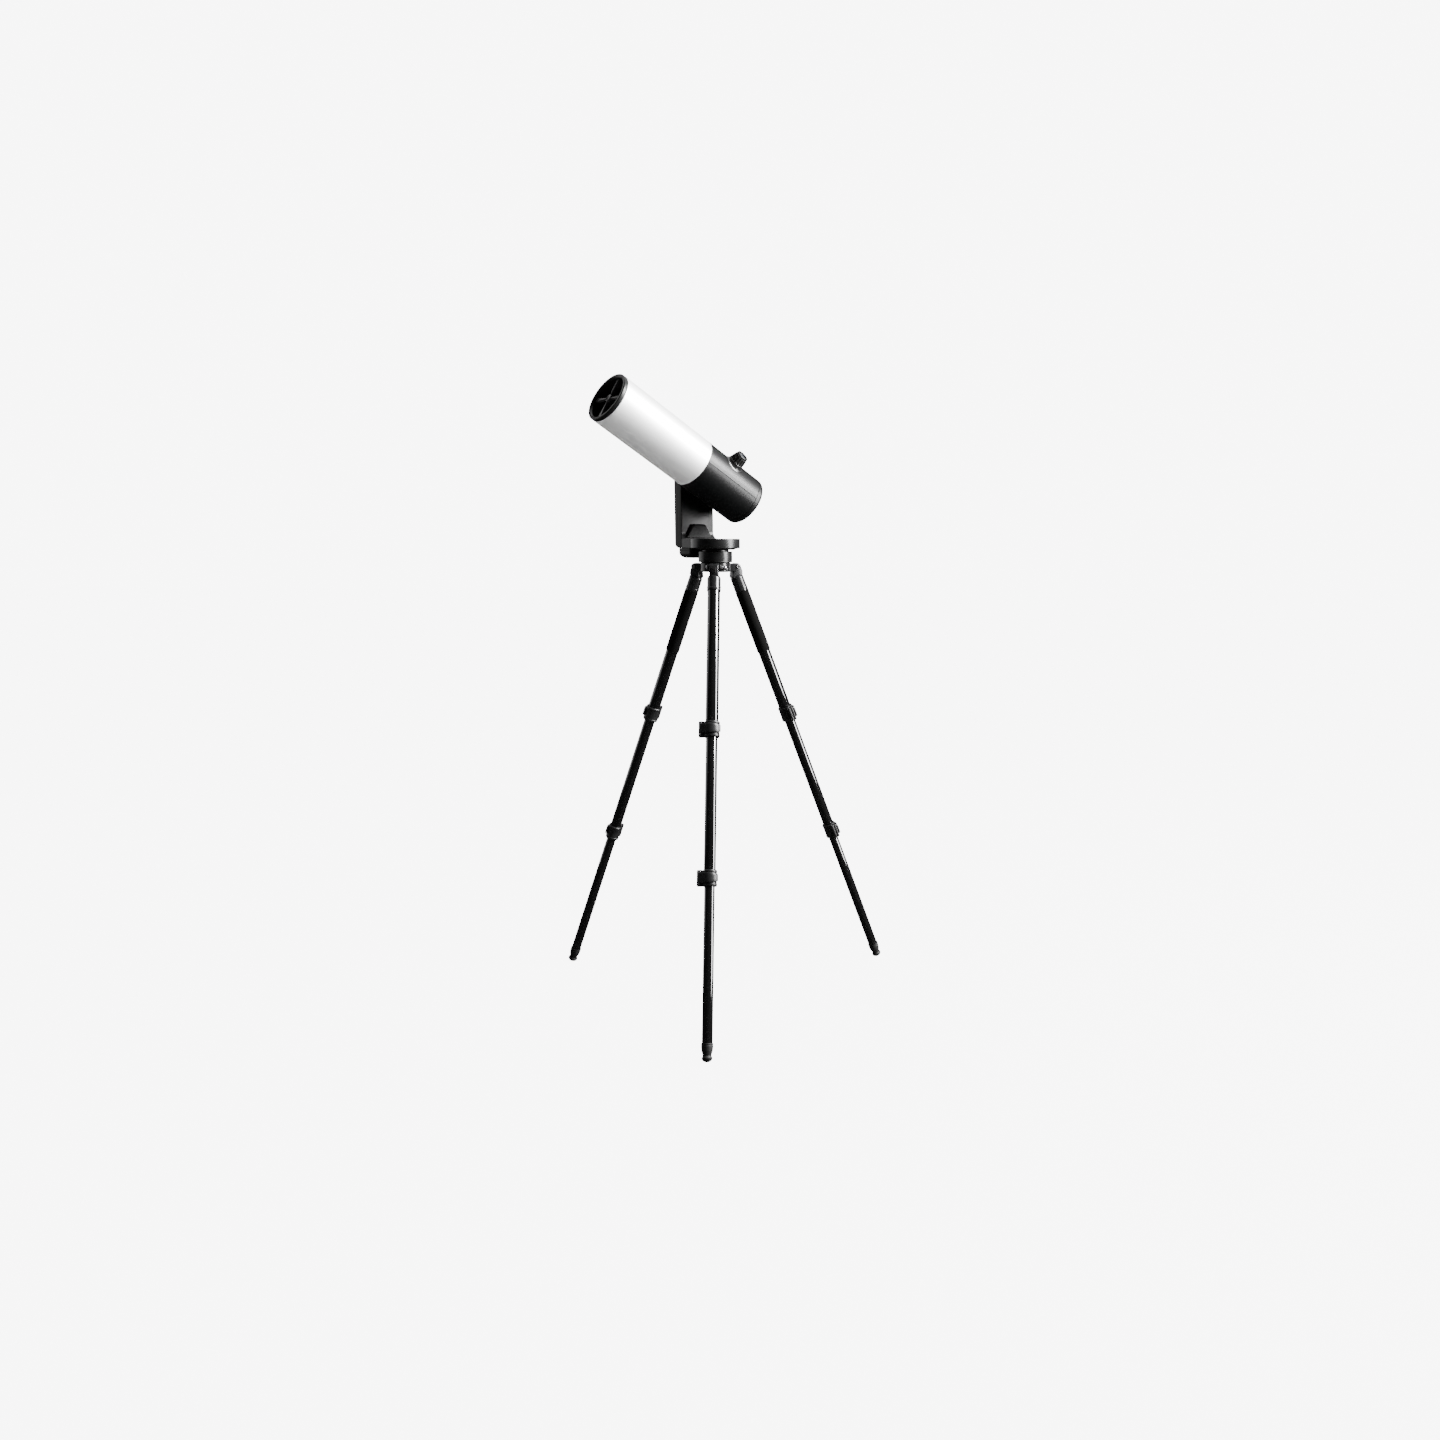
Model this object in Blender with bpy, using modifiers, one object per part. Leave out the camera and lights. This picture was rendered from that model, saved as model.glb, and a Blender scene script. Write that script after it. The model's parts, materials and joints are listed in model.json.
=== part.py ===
"""A motorised reflecting telescope with one fork arm, on a field tripod with three-section legs.

Metres, +Z up. The front leg points along -Y, and the origin is on the floor under the middle of the
feet. The legs are fully extended and spread, and the tube points up to the left of the front leg.
"""

import math

import bmesh
import bpy
from mathutils import Matrix, Vector

# ---------------------------------------------------------------- driving dimensions
GAP = 0.0003  # clearance between pieces that touch
MERGE = 0.00001
ROUND = 28  # sides of a large round piece
TUBE_ROUND = 36  # sides of the optical tube
SMALL_ROUND = 16  # sides of a leg tube
KNOB_ROUND = 20  # sides of a knob or the eyepiece
PIN_ROUND = 10  # sides of a bolt or its bore

# tripod
LEG_LENGTH = 1.309  # along a leg's middle line, from the height of its hinge to the floor
LEG_TILT = math.radians(22.0)
LEG_LINE_RADIUS = 0.0533  # from the tripod's middle to a leg's line, at the height of its hinge
HINGE_OUT = 0.0075  # the hinge bolt lies this far outside the leg's line
HINGE_RADIUS = LEG_LINE_RADIUS + HINGE_OUT / math.cos(LEG_TILT)  # from the tripod's middle to a bolt
HINGE_Z = LEG_LENGTH * math.cos(LEG_TILT)
FOOT_RADIUS = LEG_LINE_RADIUS + LEG_LENGTH * math.sin(LEG_TILT)
AXIS_Y = FOOT_RADIUS / 4  # keeps the origin in the middle of the feet
LEGS = {"front": -90.0, "left": 150.0, "right": 30.0}

COLLAR_BOTTOM = 0.0665  # distances down a leg from its hinge
GRIP_TOP = 0.0697
GRIP_BOTTOM = 0.2554
UPPER_LOCK = 0.4547  # middle of the lock
LOWER_LOCK = 0.8486
FOOT_TOP = 1.2597
NEST = 0.045  # a tube starts this far above the lock that holds it
UPPER_RADIUS = 0.0170
MIDDLE_RADIUS = 0.01525
LOWER_RADIUS = 0.0135
TUBE_WALL = 0.0013
GRIP_WALL = 0.0016
LOCK_HEIGHT = 0.042
CHEEK_INNER = 0.0123  # a fork cheek's inner and outer faces, from the leg's middle plane
CHEEK_OUTER = 0.0180
CASTING_RADIUS = 0.0415
CASTING_TOP = HINGE_Z + 0.0118
CASTING_BOTTOM = HINGE_Z - 0.0145
SPIGOT_RADIUS = 0.0220
LEVEL_AZIMUTH = math.radians(-60.0)
BOLT_RADIUS = 0.0040
EAR_HALF_WIDTH = 0.0070  # of a lock's two ears together
PIN_ACROSS = 0.0120  # a lever's pin, from the leg's middle plane
PIN_BARREL = 0.0042
LEVER_HEIGHT = 0.0260

# mount
HEADING = math.radians(219.0)  # where the tube points, from +X towards +Y
ALTITUDE = math.radians(30.5)
PEDESTAL_RADIUS = 0.0465
PEDESTAL_BOTTOM = CASTING_TOP + GAP
PEDESTAL_TOP = 1.2555
TABLE_RADIUS = 0.0680
TABLE_BOTTOM = 1.2605
TABLE_RIM = 1.2645  # height of the outer rim's lower edge
TABLE_TOP = 1.2907
ARM_HALF_WIDTH = 0.0539
ARM_INNER = 0.0844  # inner and outer faces, from the mount's upright axis
ARM_OUTER = 0.1211
ARM_SEAM = 0.1030
ARM_WALL = 0.0040
ARM_FILLET = 0.0200
ALTITUDE_Z = 1.4549
BEARING_RADIUS = 0.0400
BEARING_INNER = 0.0752
SPINDLE_RADIUS = 0.0120
SPINDLE_BORE = SPINDLE_RADIUS + 0.0005
BUTTON_RADIUS = 0.0095
BUTTON_Z = TABLE_TOP + 0.0300

# optical tube, heights along its axis from the altitude axis
TUBE_RADIUS = 0.0700
APERTURE = 0.0595
FRONT = 0.3872
RING_BACK = 0.3757
JOINT = 0.0788  # where the white tube meets the black body
BODY_BACK = -0.1050
REAR = -0.1255
REAR_ROUNDING = 0.0120
SHELL_INNER = 0.0665
MIRROR_RADIUS = 0.0570
EYEPIECE_AT = -0.0090
EYEPIECE_ROLL = math.radians(42.0)  # from the tube's top towards the free side
EYEPIECE_BORE = 0.0200

# ---------------------------------------------------------------- finishes: colour, roughness, metallic
BLACK_METAL = ((0.020, 0.020, 0.021), 0.32, 0.85)
BLACK_SATIN = ((0.030, 0.030, 0.031), 0.48, 0.10)
BLACK_MATTE = ((0.014, 0.014, 0.014), 0.70, 0.00)
GLOSS_TUBE = ((0.012, 0.012, 0.013), 0.14, 0.75)
WHITE_PAINT = ((0.780, 0.780, 0.780), 0.38, 0.20)
BRIGHT_METAL = ((0.720, 0.720, 0.730), 0.22, 1.00)
GLASS = ((0.550, 0.600, 0.620), 0.05, 0.00)
MIRROR = ((0.900, 0.900, 0.900), 0.03, 1.00)
RUBBER = ((0.018, 0.018, 0.018), 0.85, 0.00)
FOAM = ((0.022, 0.022, 0.022), 0.95, 0.00)

COLLECTION = "telescope_on_tripod"


# ---------------------------------------------------------------- building blocks
def new_collection(name):
    collection = bpy.data.collections.new(name)
    bpy.context.scene.collection.children.link(collection)
    return collection


def clear_scene():
    for obj in list(bpy.data.objects):
        bpy.data.objects.remove(obj, do_unlink=True)
    for collection in list(bpy.data.collections):
        bpy.data.collections.remove(collection)


def finish_of(name, finish):
    colour, roughness, metallic = finish
    material = bpy.data.materials.new(name)
    material.use_nodes = True
    shader = material.node_tree.nodes["Principled BSDF"]
    shader.inputs["Base Color"].default_value = (*colour, 1.0)
    shader.inputs["Roughness"].default_value = roughness
    shader.inputs["Metallic"].default_value = metallic
    return material


def place(obj, parent, at=(0, 0, 0), turn=(0, 0, 0)):
    obj.parent = parent
    obj.location = at
    obj.rotation_euler = turn
    return obj


def add_part(name, mesh, finish, parent, at=(0, 0, 0), turn=(0, 0, 0)):
    obj = bpy.data.objects.new(name, mesh)
    bpy.data.collections[COLLECTION].objects.link(obj)
    mesh.materials.clear()
    mesh.materials.append(finish_of(name, finish))
    return place(obj, parent, at, turn)


def add_tool(name, mesh, parent, at=(0, 0, 0), turn=(0, 0, 0)):
    """A solid that only cuts or extends another piece."""
    obj = bpy.data.objects.new(name, mesh)
    bpy.data.collections["cutters"].objects.link(obj)
    obj.hide_render = True
    obj.display_type = "WIRE"
    return place(obj, parent, at, turn)


def frame(name, parent=None, at=(0, 0, 0), turn=(0, 0, 0)):
    empty = bpy.data.objects.new(name, None)
    bpy.data.collections[COLLECTION].objects.link(empty)
    return place(empty, parent, at, turn)


def boolean(obj, tool, operation="DIFFERENCE", solver="EXACT"):
    modifier = obj.modifiers.new(operation.lower(), "BOOLEAN")
    modifier.operation = operation
    modifier.solver = solver
    modifier.object = tool
    return obj


def bevel(obj, width, segments=2, angle=40.0):
    modifier = obj.modifiers.new("rounded edges", "BEVEL")
    modifier.width = width
    modifier.segments = segments
    modifier.limit_method = "ANGLE"
    modifier.angle_limit = math.radians(angle)
    return obj


def box_mesh(name, size):
    bm = bmesh.new()
    bmesh.ops.create_cube(bm, size=1.0)
    bmesh.ops.scale(bm, vec=size, verts=bm.verts)
    mesh = bpy.data.meshes.new(name)
    bm.to_mesh(mesh)
    bm.free()
    return mesh


def round_mesh(name, radius, depth, sides=ROUND, end_radius=None):
    """A cylinder or cone along Z, centred, with its lower radius first."""
    bm = bmesh.new()
    bmesh.ops.create_cone(
        bm, cap_ends=True, segments=sides, radius1=radius,
        radius2=radius if end_radius is None else end_radius, depth=depth,
    )
    mesh = bpy.data.meshes.new(name)
    bm.to_mesh(mesh)
    bm.free()
    mesh.shade_smooth()
    mesh.set_sharp_from_angle(angle=math.radians(35.0))
    return mesh


def turned(name, profile, finish, parent, closed=False, sides=ROUND, at=(0, 0, 0), turn=(0, 0, 0)):
    """A solid of revolution about Z. The profile is (radius, height), down its outer side."""
    mesh = bpy.data.meshes.new(name)
    edges = [(i, i + 1) for i in range(len(profile) - 1)]
    if closed:
        edges.append((len(profile) - 1, 0))
    mesh.from_pydata([(radius, 0.0, height) for radius, height in profile], edges, [])
    obj = add_part(name, mesh, finish, parent, at, turn)
    screw = obj.modifiers.new("turn", "SCREW")
    screw.steps = screw.render_steps = sides
    screw.use_merge_vertices = True
    screw.merge_threshold = MERGE
    screw.use_smooth_shade = True
    return obj


def sleeve(name, outer, inner, top, bottom, finish, parent, sides=SMALL_ROUND):
    """A plain hollow tube about Z."""
    profile = [(inner, top), (outer, top), (outer, bottom), (inner, bottom)]
    return turned(name, profile, finish, parent, closed=True, sides=sides)


def outline_mesh(name, loops, thickness):
    """A flat outline with its holes, extruded to both sides of XY and welded shut."""
    curve = bpy.data.curves.new(name, "CURVE")
    curve.dimensions = "2D"
    curve.fill_mode = "BOTH"
    curve.extrude = thickness / 2
    for loop in loops:
        spline = curve.splines.new("POLY")
        spline.points.add(len(loop) - 1)
        for point, (x, y) in zip(spline.points, loop):
            point.co = (x, y, 0.0, 1.0)
        spline.use_cyclic_u = True
    guide = bpy.data.objects.new(name + "_outline", curve)
    bpy.context.scene.collection.objects.link(guide)
    evaluated = guide.evaluated_get(bpy.context.evaluated_depsgraph_get())
    mesh = bpy.data.meshes.new_from_object(evaluated)
    bpy.data.objects.remove(guide)
    bm = bmesh.new()
    bm.from_mesh(mesh)
    bmesh.ops.remove_doubles(bm, verts=bm.verts, dist=MERGE)
    bmesh.ops.dissolve_limit(bm, angle_limit=math.radians(1.0), verts=bm.verts, edges=bm.edges)
    bmesh.ops.recalc_face_normals(bm, faces=bm.faces)
    bm.to_mesh(mesh)
    bm.free()
    mesh.name = name
    return mesh


def arc(centre, radius, start, end, steps):
    """Points on a circle from one angle to another, in degrees."""
    points = []
    for i in range(steps + 1):
        angle = math.radians(start + (end - start) * i / steps)
        points.append((centre[0] + radius * math.cos(angle), centre[1] + radius * math.sin(angle)))
    return points


# ---------------------------------------------------------------- tripod
def make_shoulder(axis):
    """The casting on top of the tripod: a thick disc with a two-cheeked fork for each leg."""
    casting = add_part(
        "shoulder_casting", round_mesh("shoulder_casting", CASTING_RADIUS, CASTING_TOP - CASTING_BOTTOM),
        BLACK_METAL, axis, at=(0, 0, (CASTING_TOP + CASTING_BOTTOM) / 2),
    )
    fork_radius = 0.0085
    fork_root = 0.0260
    fork_drop = 0.0130
    outline = [(fork_root, fork_radius)] + arc((HINGE_RADIUS, 0), fork_radius, 90, -30, 4)
    outline += [(HINGE_RADIUS - 0.004, -fork_drop), (fork_root, -fork_drop)]
    slot_start = 0.0290
    slot_end = 0.0800
    sideways = Matrix.Rotation(math.radians(90), 4, "X")
    for leg, azimuth in LEGS.items():
        spot = frame(f"{leg}_fork", axis, at=(0, 0, HINGE_Z), turn=(0, 0, math.radians(azimuth)))
        fork = outline_mesh("fork", [outline], 2 * CHEEK_OUTER)
        fork.transform(sideways)
        boolean(casting, add_tool(f"{leg}_fork_block", fork, spot), "UNION")
        slot = box_mesh("slot", (slot_end - slot_start, 2 * CHEEK_INNER, 0.06))
        at = ((slot_start + slot_end) / 2, 0, 0)
        boolean(casting, add_tool(f"{leg}_knuckle_slot", slot, spot, at=at))
        bore = round_mesh("bore", BOLT_RADIUS + GAP, 0.06, PIN_ROUND)
        turn = (math.radians(90), 0, 0)
        boolean(casting, add_tool(f"{leg}_bolt_bore", bore, spot, at=(HINGE_RADIUS, 0, 0), turn=turn))
    shelf_spot = frame("level_spot", axis, at=(0, 0, HINGE_Z), turn=(0, 0, LEVEL_AZIMUTH))
    shelf = box_mesh("shelf", (0.030, 0.018, 0.006))
    boolean(casting, add_tool("level_shelf", shelf, shelf_spot, at=(0.047, 0, -0.006)), "UNION")
    bore = add_tool("lock_screw_bore", round_mesh("bore", BOLT_RADIUS + GAP, 0.06, PIN_ROUND), axis)
    place(bore, axis, at=(0, CASTING_RADIUS, HINGE_Z), turn=(math.radians(90), 0, 0))
    boolean(casting, bore)
    socket = round_mesh("socket", SPIGOT_RADIUS + GAP, 0.06, KNOB_ROUND)
    return boolean(casting, add_tool("spigot_socket", socket, axis, at=(0, 0, HINGE_Z)))


def make_hinge_bolt(name, leg_frame):
    """The bolt through both cheeks and the knuckle, with a shallow head at each end."""
    reach = CHEEK_OUTER + GAP
    head = reach + 0.0032
    profile = [
        (0.0, head), (0.0060, head), (0.0065, reach), (BOLT_RADIUS, reach),
        (BOLT_RADIUS, -reach), (0.0065, -reach), (0.0060, -head), (0.0, -head),
    ]
    return turned(name, profile, BRIGHT_METAL, leg_frame, sides=PIN_ROUND, turn=(math.radians(90), 0, 0))


def make_bubble_level(axis):
    spot = Matrix.Rotation(LEVEL_AZIMUTH, 4, "Z") @ Vector((0.0535, 0, HINGE_Z - 0.003 + GAP))
    profile = [(0.0, 0.0055), (0.0050, 0.0050), (0.0065, 0.0050), (0.0075, 0.0040), (0.0075, 0.0), (0.0, 0.0)]
    return turned("bubble_level", profile, BRIGHT_METAL, axis, sides=16, at=spot)


def make_lock_screw(axis):
    """The radial thumbscrew that holds the pedestal's spigot, at the back of the casting."""
    stem = BOLT_RADIUS
    profile = [
        (0.0, 0.0160), (0.0090, 0.0155), (0.0100, 0.0140), (0.0100, 0.0030), (0.0080, 0.0010),
        (stem, 0.0010), (stem, -0.0180), (0.0, -0.0180),
    ]
    return turned(
        "pedestal_lock_screw", profile, BLACK_MATTE, axis, sides=16,
        at=(0, CASTING_RADIUS, HINGE_Z), turn=(math.radians(-90), 0, 0),
    )


def lock_outline(radius):
    """A clamp seen along the leg: a band round the tube with two bolted ears on one side."""
    band = radius + 0.0042
    ear = EAR_HALF_WIDTH
    reach = radius + 0.0175
    start = math.degrees(math.asin(ear / band))
    points = arc((0, 0), band, -90 + start, 270 - start, 12)
    points += arc((-ear + 0.003, -reach + 0.003), 0.003, 180, 270, 2)
    points += arc((ear - 0.003, -reach + 0.003), 0.003, 270, 360, 2)
    return points


def make_lock(name, parent, middle, outer_tube, inner_tube):
    """The clamp at a tube's lower end, with a wide bore for that tube and a narrow one for the next."""
    lock = add_part(
        name, outline_mesh(name, [lock_outline(outer_tube)], LOCK_HEIGHT), BLACK_SATIN, parent,
        at=(-HINGE_OUT, 0, -middle),
    )
    step = 0.001  # the wide bore ends this far below the middle, under the outer tube's end
    wide = round_mesh("bore", outer_tube + GAP, LOCK_HEIGHT, SMALL_ROUND)
    boolean(lock, add_tool(f"{name}_wide_bore", wide, lock, at=(0, 0, LOCK_HEIGHT / 2 - step)))
    narrow = round_mesh("bore", inner_tube + GAP, 2 * LOCK_HEIGHT, SMALL_ROUND)
    return boolean(lock, add_tool(f"{name}_narrow_bore", narrow, lock))


def make_lever(name, leg_frame, middle, radius):
    """A flip lever that wraps the band from its pin, which stands beside the ears along the leg."""
    inner = radius + 0.0046
    outer = radius + 0.0090
    pin = Vector((PIN_ACROSS, -(radius + 0.0105)))
    outline = arc((0, 0), outer, -38, 62, 6) + arc((0, 0), inner, 62, -35, 6)
    outline += arc(pin, PIN_BARREL, 150, 320, 4)
    outline = [tuple(Vector(point) - pin) for point in outline]
    hinge = frame(f"{name}_pin", leg_frame, at=(pin.x - HINGE_OUT, pin.y, -middle))
    return add_part(name, outline_mesh(name, [outline], LEVER_HEIGHT), BLACK_SATIN, hinge)


def make_collar(name, leg_frame):
    """The casting on a leg's top: a knuckle between the cheeks, and a sleeve over the upper tube."""
    knuckle_width = 2 * (CHEEK_INNER - GAP)
    top_radius = 0.0100
    outline = arc((0, 0), top_radius, 0, 150, 7)
    outline += [(-HINGE_OUT - 0.0150, -0.0200), (-HINGE_OUT - 0.0150, -0.0270)]
    outline += [(-HINGE_OUT + 0.0165, -0.0270), (top_radius, -0.0150)]
    knuckle = outline_mesh(name, [outline], knuckle_width)
    knuckle.transform(Matrix.Rotation(math.radians(90), 4, "X"))
    collar = add_part(name, knuckle, BLACK_METAL, leg_frame)
    sleeve_radius = UPPER_RADIUS + 0.0013
    sleeve_top = 0.0225
    shell = round_mesh("sleeve", sleeve_radius, COLLAR_BOTTOM - sleeve_top, SMALL_ROUND)
    at = (-HINGE_OUT, 0, -(COLLAR_BOTTOM + sleeve_top) / 2)
    boolean(collar, add_tool(f"{name}_sleeve", shell, leg_frame, at=at), "UNION")
    bore_top = 0.0290
    bore = add_tool(f"{name}_bore", round_mesh("bore", UPPER_RADIUS + GAP, 0.080, SMALL_ROUND), leg_frame)
    bore.location = (-HINGE_OUT, 0, -bore_top - 0.040)
    boolean(collar, bore)
    pin_bore = round_mesh("bore", BOLT_RADIUS + GAP, 0.06, PIN_ROUND)
    turn = (math.radians(90), 0, 0)
    return boolean(collar, add_tool(f"{name}_pin_bore", pin_bore, leg_frame, turn=turn))


def make_angle_stop(name, leg_frame):
    """The tab on a leg's outer side that slides out to free the hinge."""
    tab = add_part(name, box_mesh(name, (0.0036, 0.0120, 0.0170)), BLACK_MATTE, leg_frame)
    tab.location = (0.0100 + 0.0036 / 2 + GAP, 0, -0.0128)
    return bevel(tab, 0.0008, segments=1)


def make_foot(name, leg_frame, axis_frame):
    """A rubber foot: a collar over the tube, a waist and a flared pad with a domed sole, flat on the floor."""
    collar_radius = 0.0153
    waist_radius = 0.0115
    pad_radius = 0.0142
    socket_end = FOOT_TOP + 0.0120
    dome_radius = 0.0160
    dome_sink = 0.0012
    floor = LEG_LENGTH - HINGE_OUT * math.tan(LEG_TILT)  # along the leg's own axis
    dome_centre = floor - (dome_radius - dome_sink) / math.cos(LEG_TILT)
    bore = LOWER_RADIUS + GAP
    profile = [
        (bore, -FOOT_TOP), (collar_radius, -FOOT_TOP), (collar_radius, -FOOT_TOP - 0.0090),
        (waist_radius, -FOOT_TOP - 0.0230), (waist_radius, -FOOT_TOP - 0.0270),
        (pad_radius, -FOOT_TOP - 0.0330), (pad_radius, -dome_centre - 0.0062),
    ]
    for angle in (-38, -58, -80):
        turn = math.radians(angle)
        profile.append((dome_radius * math.cos(turn), -dome_centre + dome_radius * math.sin(turn)))
    profile += [(0.0, -dome_centre - dome_radius), (0.0, -socket_end), (bore, -socket_end)]
    foot = turned(
        name, profile, RUBBER, leg_frame, closed=True, sides=SMALL_ROUND, at=(-HINGE_OUT, 0, 0)
    )
    below = add_tool(f"{name}_floor", box_mesh("floor", (3.0, 3.0, 0.1)), axis_frame, at=(0, 0, -0.05))
    return boolean(foot, below)


def make_leg(leg, azimuth, axis):
    """One leg, folded out to its stop, with three nested tubes and two flip locks."""
    turn = math.radians(azimuth)
    at = (HINGE_RADIUS * math.cos(turn), HINGE_RADIUS * math.sin(turn), HINGE_Z)
    hinge = frame(f"{leg}_leg_hinge", axis, at=at, turn=(0, -LEG_TILT, turn))
    middle = frame(f"{leg}_middle_slide", hinge, at=(-HINGE_OUT, 0, 0))
    make_hinge_bolt(f"{leg}_hinge_bolt", hinge)
    make_collar(f"{leg}_leg_collar", hinge)
    make_angle_stop(f"{leg}_angle_stop", hinge)
    sleeve(
        f"{leg}_upper_tube", UPPER_RADIUS, UPPER_RADIUS - TUBE_WALL, -0.0295, -UPPER_LOCK, GLOSS_TUBE, middle
    )
    if leg != "front":
        inner = UPPER_RADIUS + GAP
        sleeve(f"{leg}_grip", inner + GRIP_WALL, inner, -GRIP_TOP, -GRIP_BOTTOM, FOAM, middle)
    make_lock(f"{leg}_upper_lock", hinge, UPPER_LOCK, UPPER_RADIUS, MIDDLE_RADIUS)
    make_lever(f"{leg}_upper_lever", hinge, UPPER_LOCK, UPPER_RADIUS)
    sleeve(
        f"{leg}_middle_tube", MIDDLE_RADIUS, MIDDLE_RADIUS - TUBE_WALL, -UPPER_LOCK + NEST, -LOWER_LOCK,
        GLOSS_TUBE, middle,
    )
    make_lock(f"{leg}_lower_lock", hinge, LOWER_LOCK, MIDDLE_RADIUS, LOWER_RADIUS)
    make_lever(f"{leg}_lower_lever", hinge, LOWER_LOCK, MIDDLE_RADIUS)
    sleeve(
        f"{leg}_lower_tube", LOWER_RADIUS, LOWER_RADIUS - TUBE_WALL, -LOWER_LOCK + NEST,
        -FOOT_TOP - 0.0115, GLOSS_TUBE, middle,
    )
    make_foot(f"{leg}_foot", hinge, axis)


# ---------------------------------------------------------------- mount
def make_pedestal(axis):
    """The fixed foot of the mount: a spigot in the tripod, a drum, a neck and the azimuth spindle."""
    profile = [
        (0.0, 1.2790), (0.0080, 1.2790), (0.0080, PEDESTAL_TOP + 0.0047), (0.0370, PEDESTAL_TOP + 0.0047),
        (0.0370, PEDESTAL_TOP), (PEDESTAL_RADIUS - 0.0015, PEDESTAL_TOP),
        (PEDESTAL_RADIUS, PEDESTAL_TOP - 0.0015), (PEDESTAL_RADIUS, PEDESTAL_BOTTOM + 0.0010),
        (PEDESTAL_RADIUS - 0.0010, PEDESTAL_BOTTOM), (SPIGOT_RADIUS, PEDESTAL_BOTTOM),
        (SPIGOT_RADIUS, CASTING_BOTTOM + 0.0040), (0.0, CASTING_BOTTOM + 0.0040),
    ]
    return turned("pedestal", profile, BLACK_SATIN, axis)


def make_turntable(mount):
    """The turning base: a disc with a tongue under the arm, and a well for the azimuth spindle."""
    profile = [
        (0.0, TABLE_TOP), (TABLE_RADIUS - 0.0010, TABLE_TOP), (TABLE_RADIUS, TABLE_TOP - 0.0010),
        (TABLE_RADIUS, TABLE_RIM), (TABLE_RADIUS - 0.0180, TABLE_BOTTOM), (0.0, TABLE_BOTTOM),
    ]
    table = turned("turntable", profile, BLACK_SATIN, mount)
    length = ARM_INNER - GAP - 0.02
    thickness = TABLE_TOP - TABLE_RIM
    tongue = add_tool(
        "turntable_tongue", box_mesh("tongue", (2 * ARM_HALF_WIDTH, length, thickness)), mount,
        at=(0, -(ARM_INNER - GAP) + length / 2, TABLE_RIM + thickness / 2),
    )
    boolean(table, tongue, "UNION")
    well = round_mesh("well", 0.0300, 0.0240)
    return boolean(table, add_tool("spindle_well", well, mount, at=(0, 0, TABLE_BOTTOM + 0.0110)))


def arm_outline(inset, bottom, corner=0.0, steps=12):
    """The arm seen from the side: upright, with a half-round top on the altitude axis."""
    half = ARM_HALF_WIDTH - inset
    if corner:
        points = arc((-half + corner, bottom + corner), corner, 180, 270, 3)
        points += arc((half - corner, bottom + corner), corner, 270, 360, 3)
    else:
        points = [(-half, bottom), (half, bottom)]
    return points + arc((0, ALTITUDE_Z), half, 0, 180, steps)


def stand_up(mesh, offset):
    """Turns an outline drawn in XY so that it stands across the mount's Y, at that offset."""
    mesh.transform(Matrix.Translation((0, offset, 0)) @ Matrix.Rotation(math.radians(90), 4, "X"))
    return mesh


def foot_fillet(name, gap):
    """The concave fillet where the arm's inner face meets the turntable."""
    y = -ARM_INNER - 0.001
    z = TABLE_TOP + GAP
    centre = (-ARM_INNER + ARM_FILLET + gap, TABLE_TOP + ARM_FILLET + gap)
    loop = [(y, z), (centre[0], z)] + arc(centre, ARM_FILLET, 270, 180, 6)[:-1] + [(y, centre[1])]
    mesh = outline_mesh(name, [loop], 2 * (ARM_HALF_WIDTH + (gap or -GAP)))
    upright = Matrix(((0, 0, 1, 0), (1, 0, 0, 0), (0, 1, 0, 0), (0, 0, 0, 1)))
    mesh.transform(upright)
    return mesh


def make_arm(mount):
    """The fork arm: a hollow frame on the tube's side and a cover on the outer side."""
    depth = ARM_SEAM - GAP / 2 - ARM_INNER
    plate = outline_mesh("arm_frame", [arm_outline(0, TABLE_RIM)], depth)
    arm = add_part("arm_frame", stand_up(plate, -(ARM_INNER + depth / 2)), BLACK_SATIN, mount)
    pocket_depth = depth - ARM_WALL
    pocket = add_tool(
        "arm_frame_pocket",
        stand_up(
            outline_mesh("pocket", [arm_outline(ARM_WALL, TABLE_RIM + ARM_WALL)], pocket_depth + 0.002),
            -(ARM_SEAM - pocket_depth / 2 + 0.001),
        ),
        mount,
    )
    boolean(arm, pocket)
    fillet = add_tool("arm_foot_fillet", foot_fillet("fillet", 0.0), mount)
    boolean(arm, fillet, "UNION", solver="MANIFOLD")
    bore = add_tool("arm_spindle_bore", round_mesh("bore", SPINDLE_BORE, 0.06, KNOB_ROUND), mount)
    bore.location = (0, -ARM_INNER, ALTITUDE_Z)
    bore.rotation_euler = (math.radians(90), 0, 0)
    boolean(arm, bore)

    cover_depth = ARM_OUTER - ARM_SEAM - GAP / 2
    plate = outline_mesh("arm_cover", [arm_outline(0, TABLE_RIM, corner=0.004)], cover_depth)
    cover = add_part("arm_cover", stand_up(plate, -(ARM_OUTER - cover_depth / 2)), BLACK_SATIN, mount)
    bevel(cover, 0.0050, segments=2, angle=60.0)
    hollow_depth = cover_depth - ARM_WALL
    hollow = add_tool(
        "arm_cover_hollow",
        stand_up(
            outline_mesh("hollow", [arm_outline(ARM_WALL, TABLE_RIM + ARM_WALL)], hollow_depth + 0.002),
            -(ARM_SEAM + hollow_depth / 2 - 0.001),
        ),
        mount,
    )
    boolean(cover, hollow)
    button_bore = add_tool("button_bore", round_mesh("bore", BUTTON_RADIUS + GAP, 0.02, KNOB_ROUND), mount)
    button_bore.location = (0, -ARM_OUTER, BUTTON_Z)
    button_bore.rotation_euler = (math.radians(90), 0, 0)
    boolean(cover, button_bore)


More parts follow.
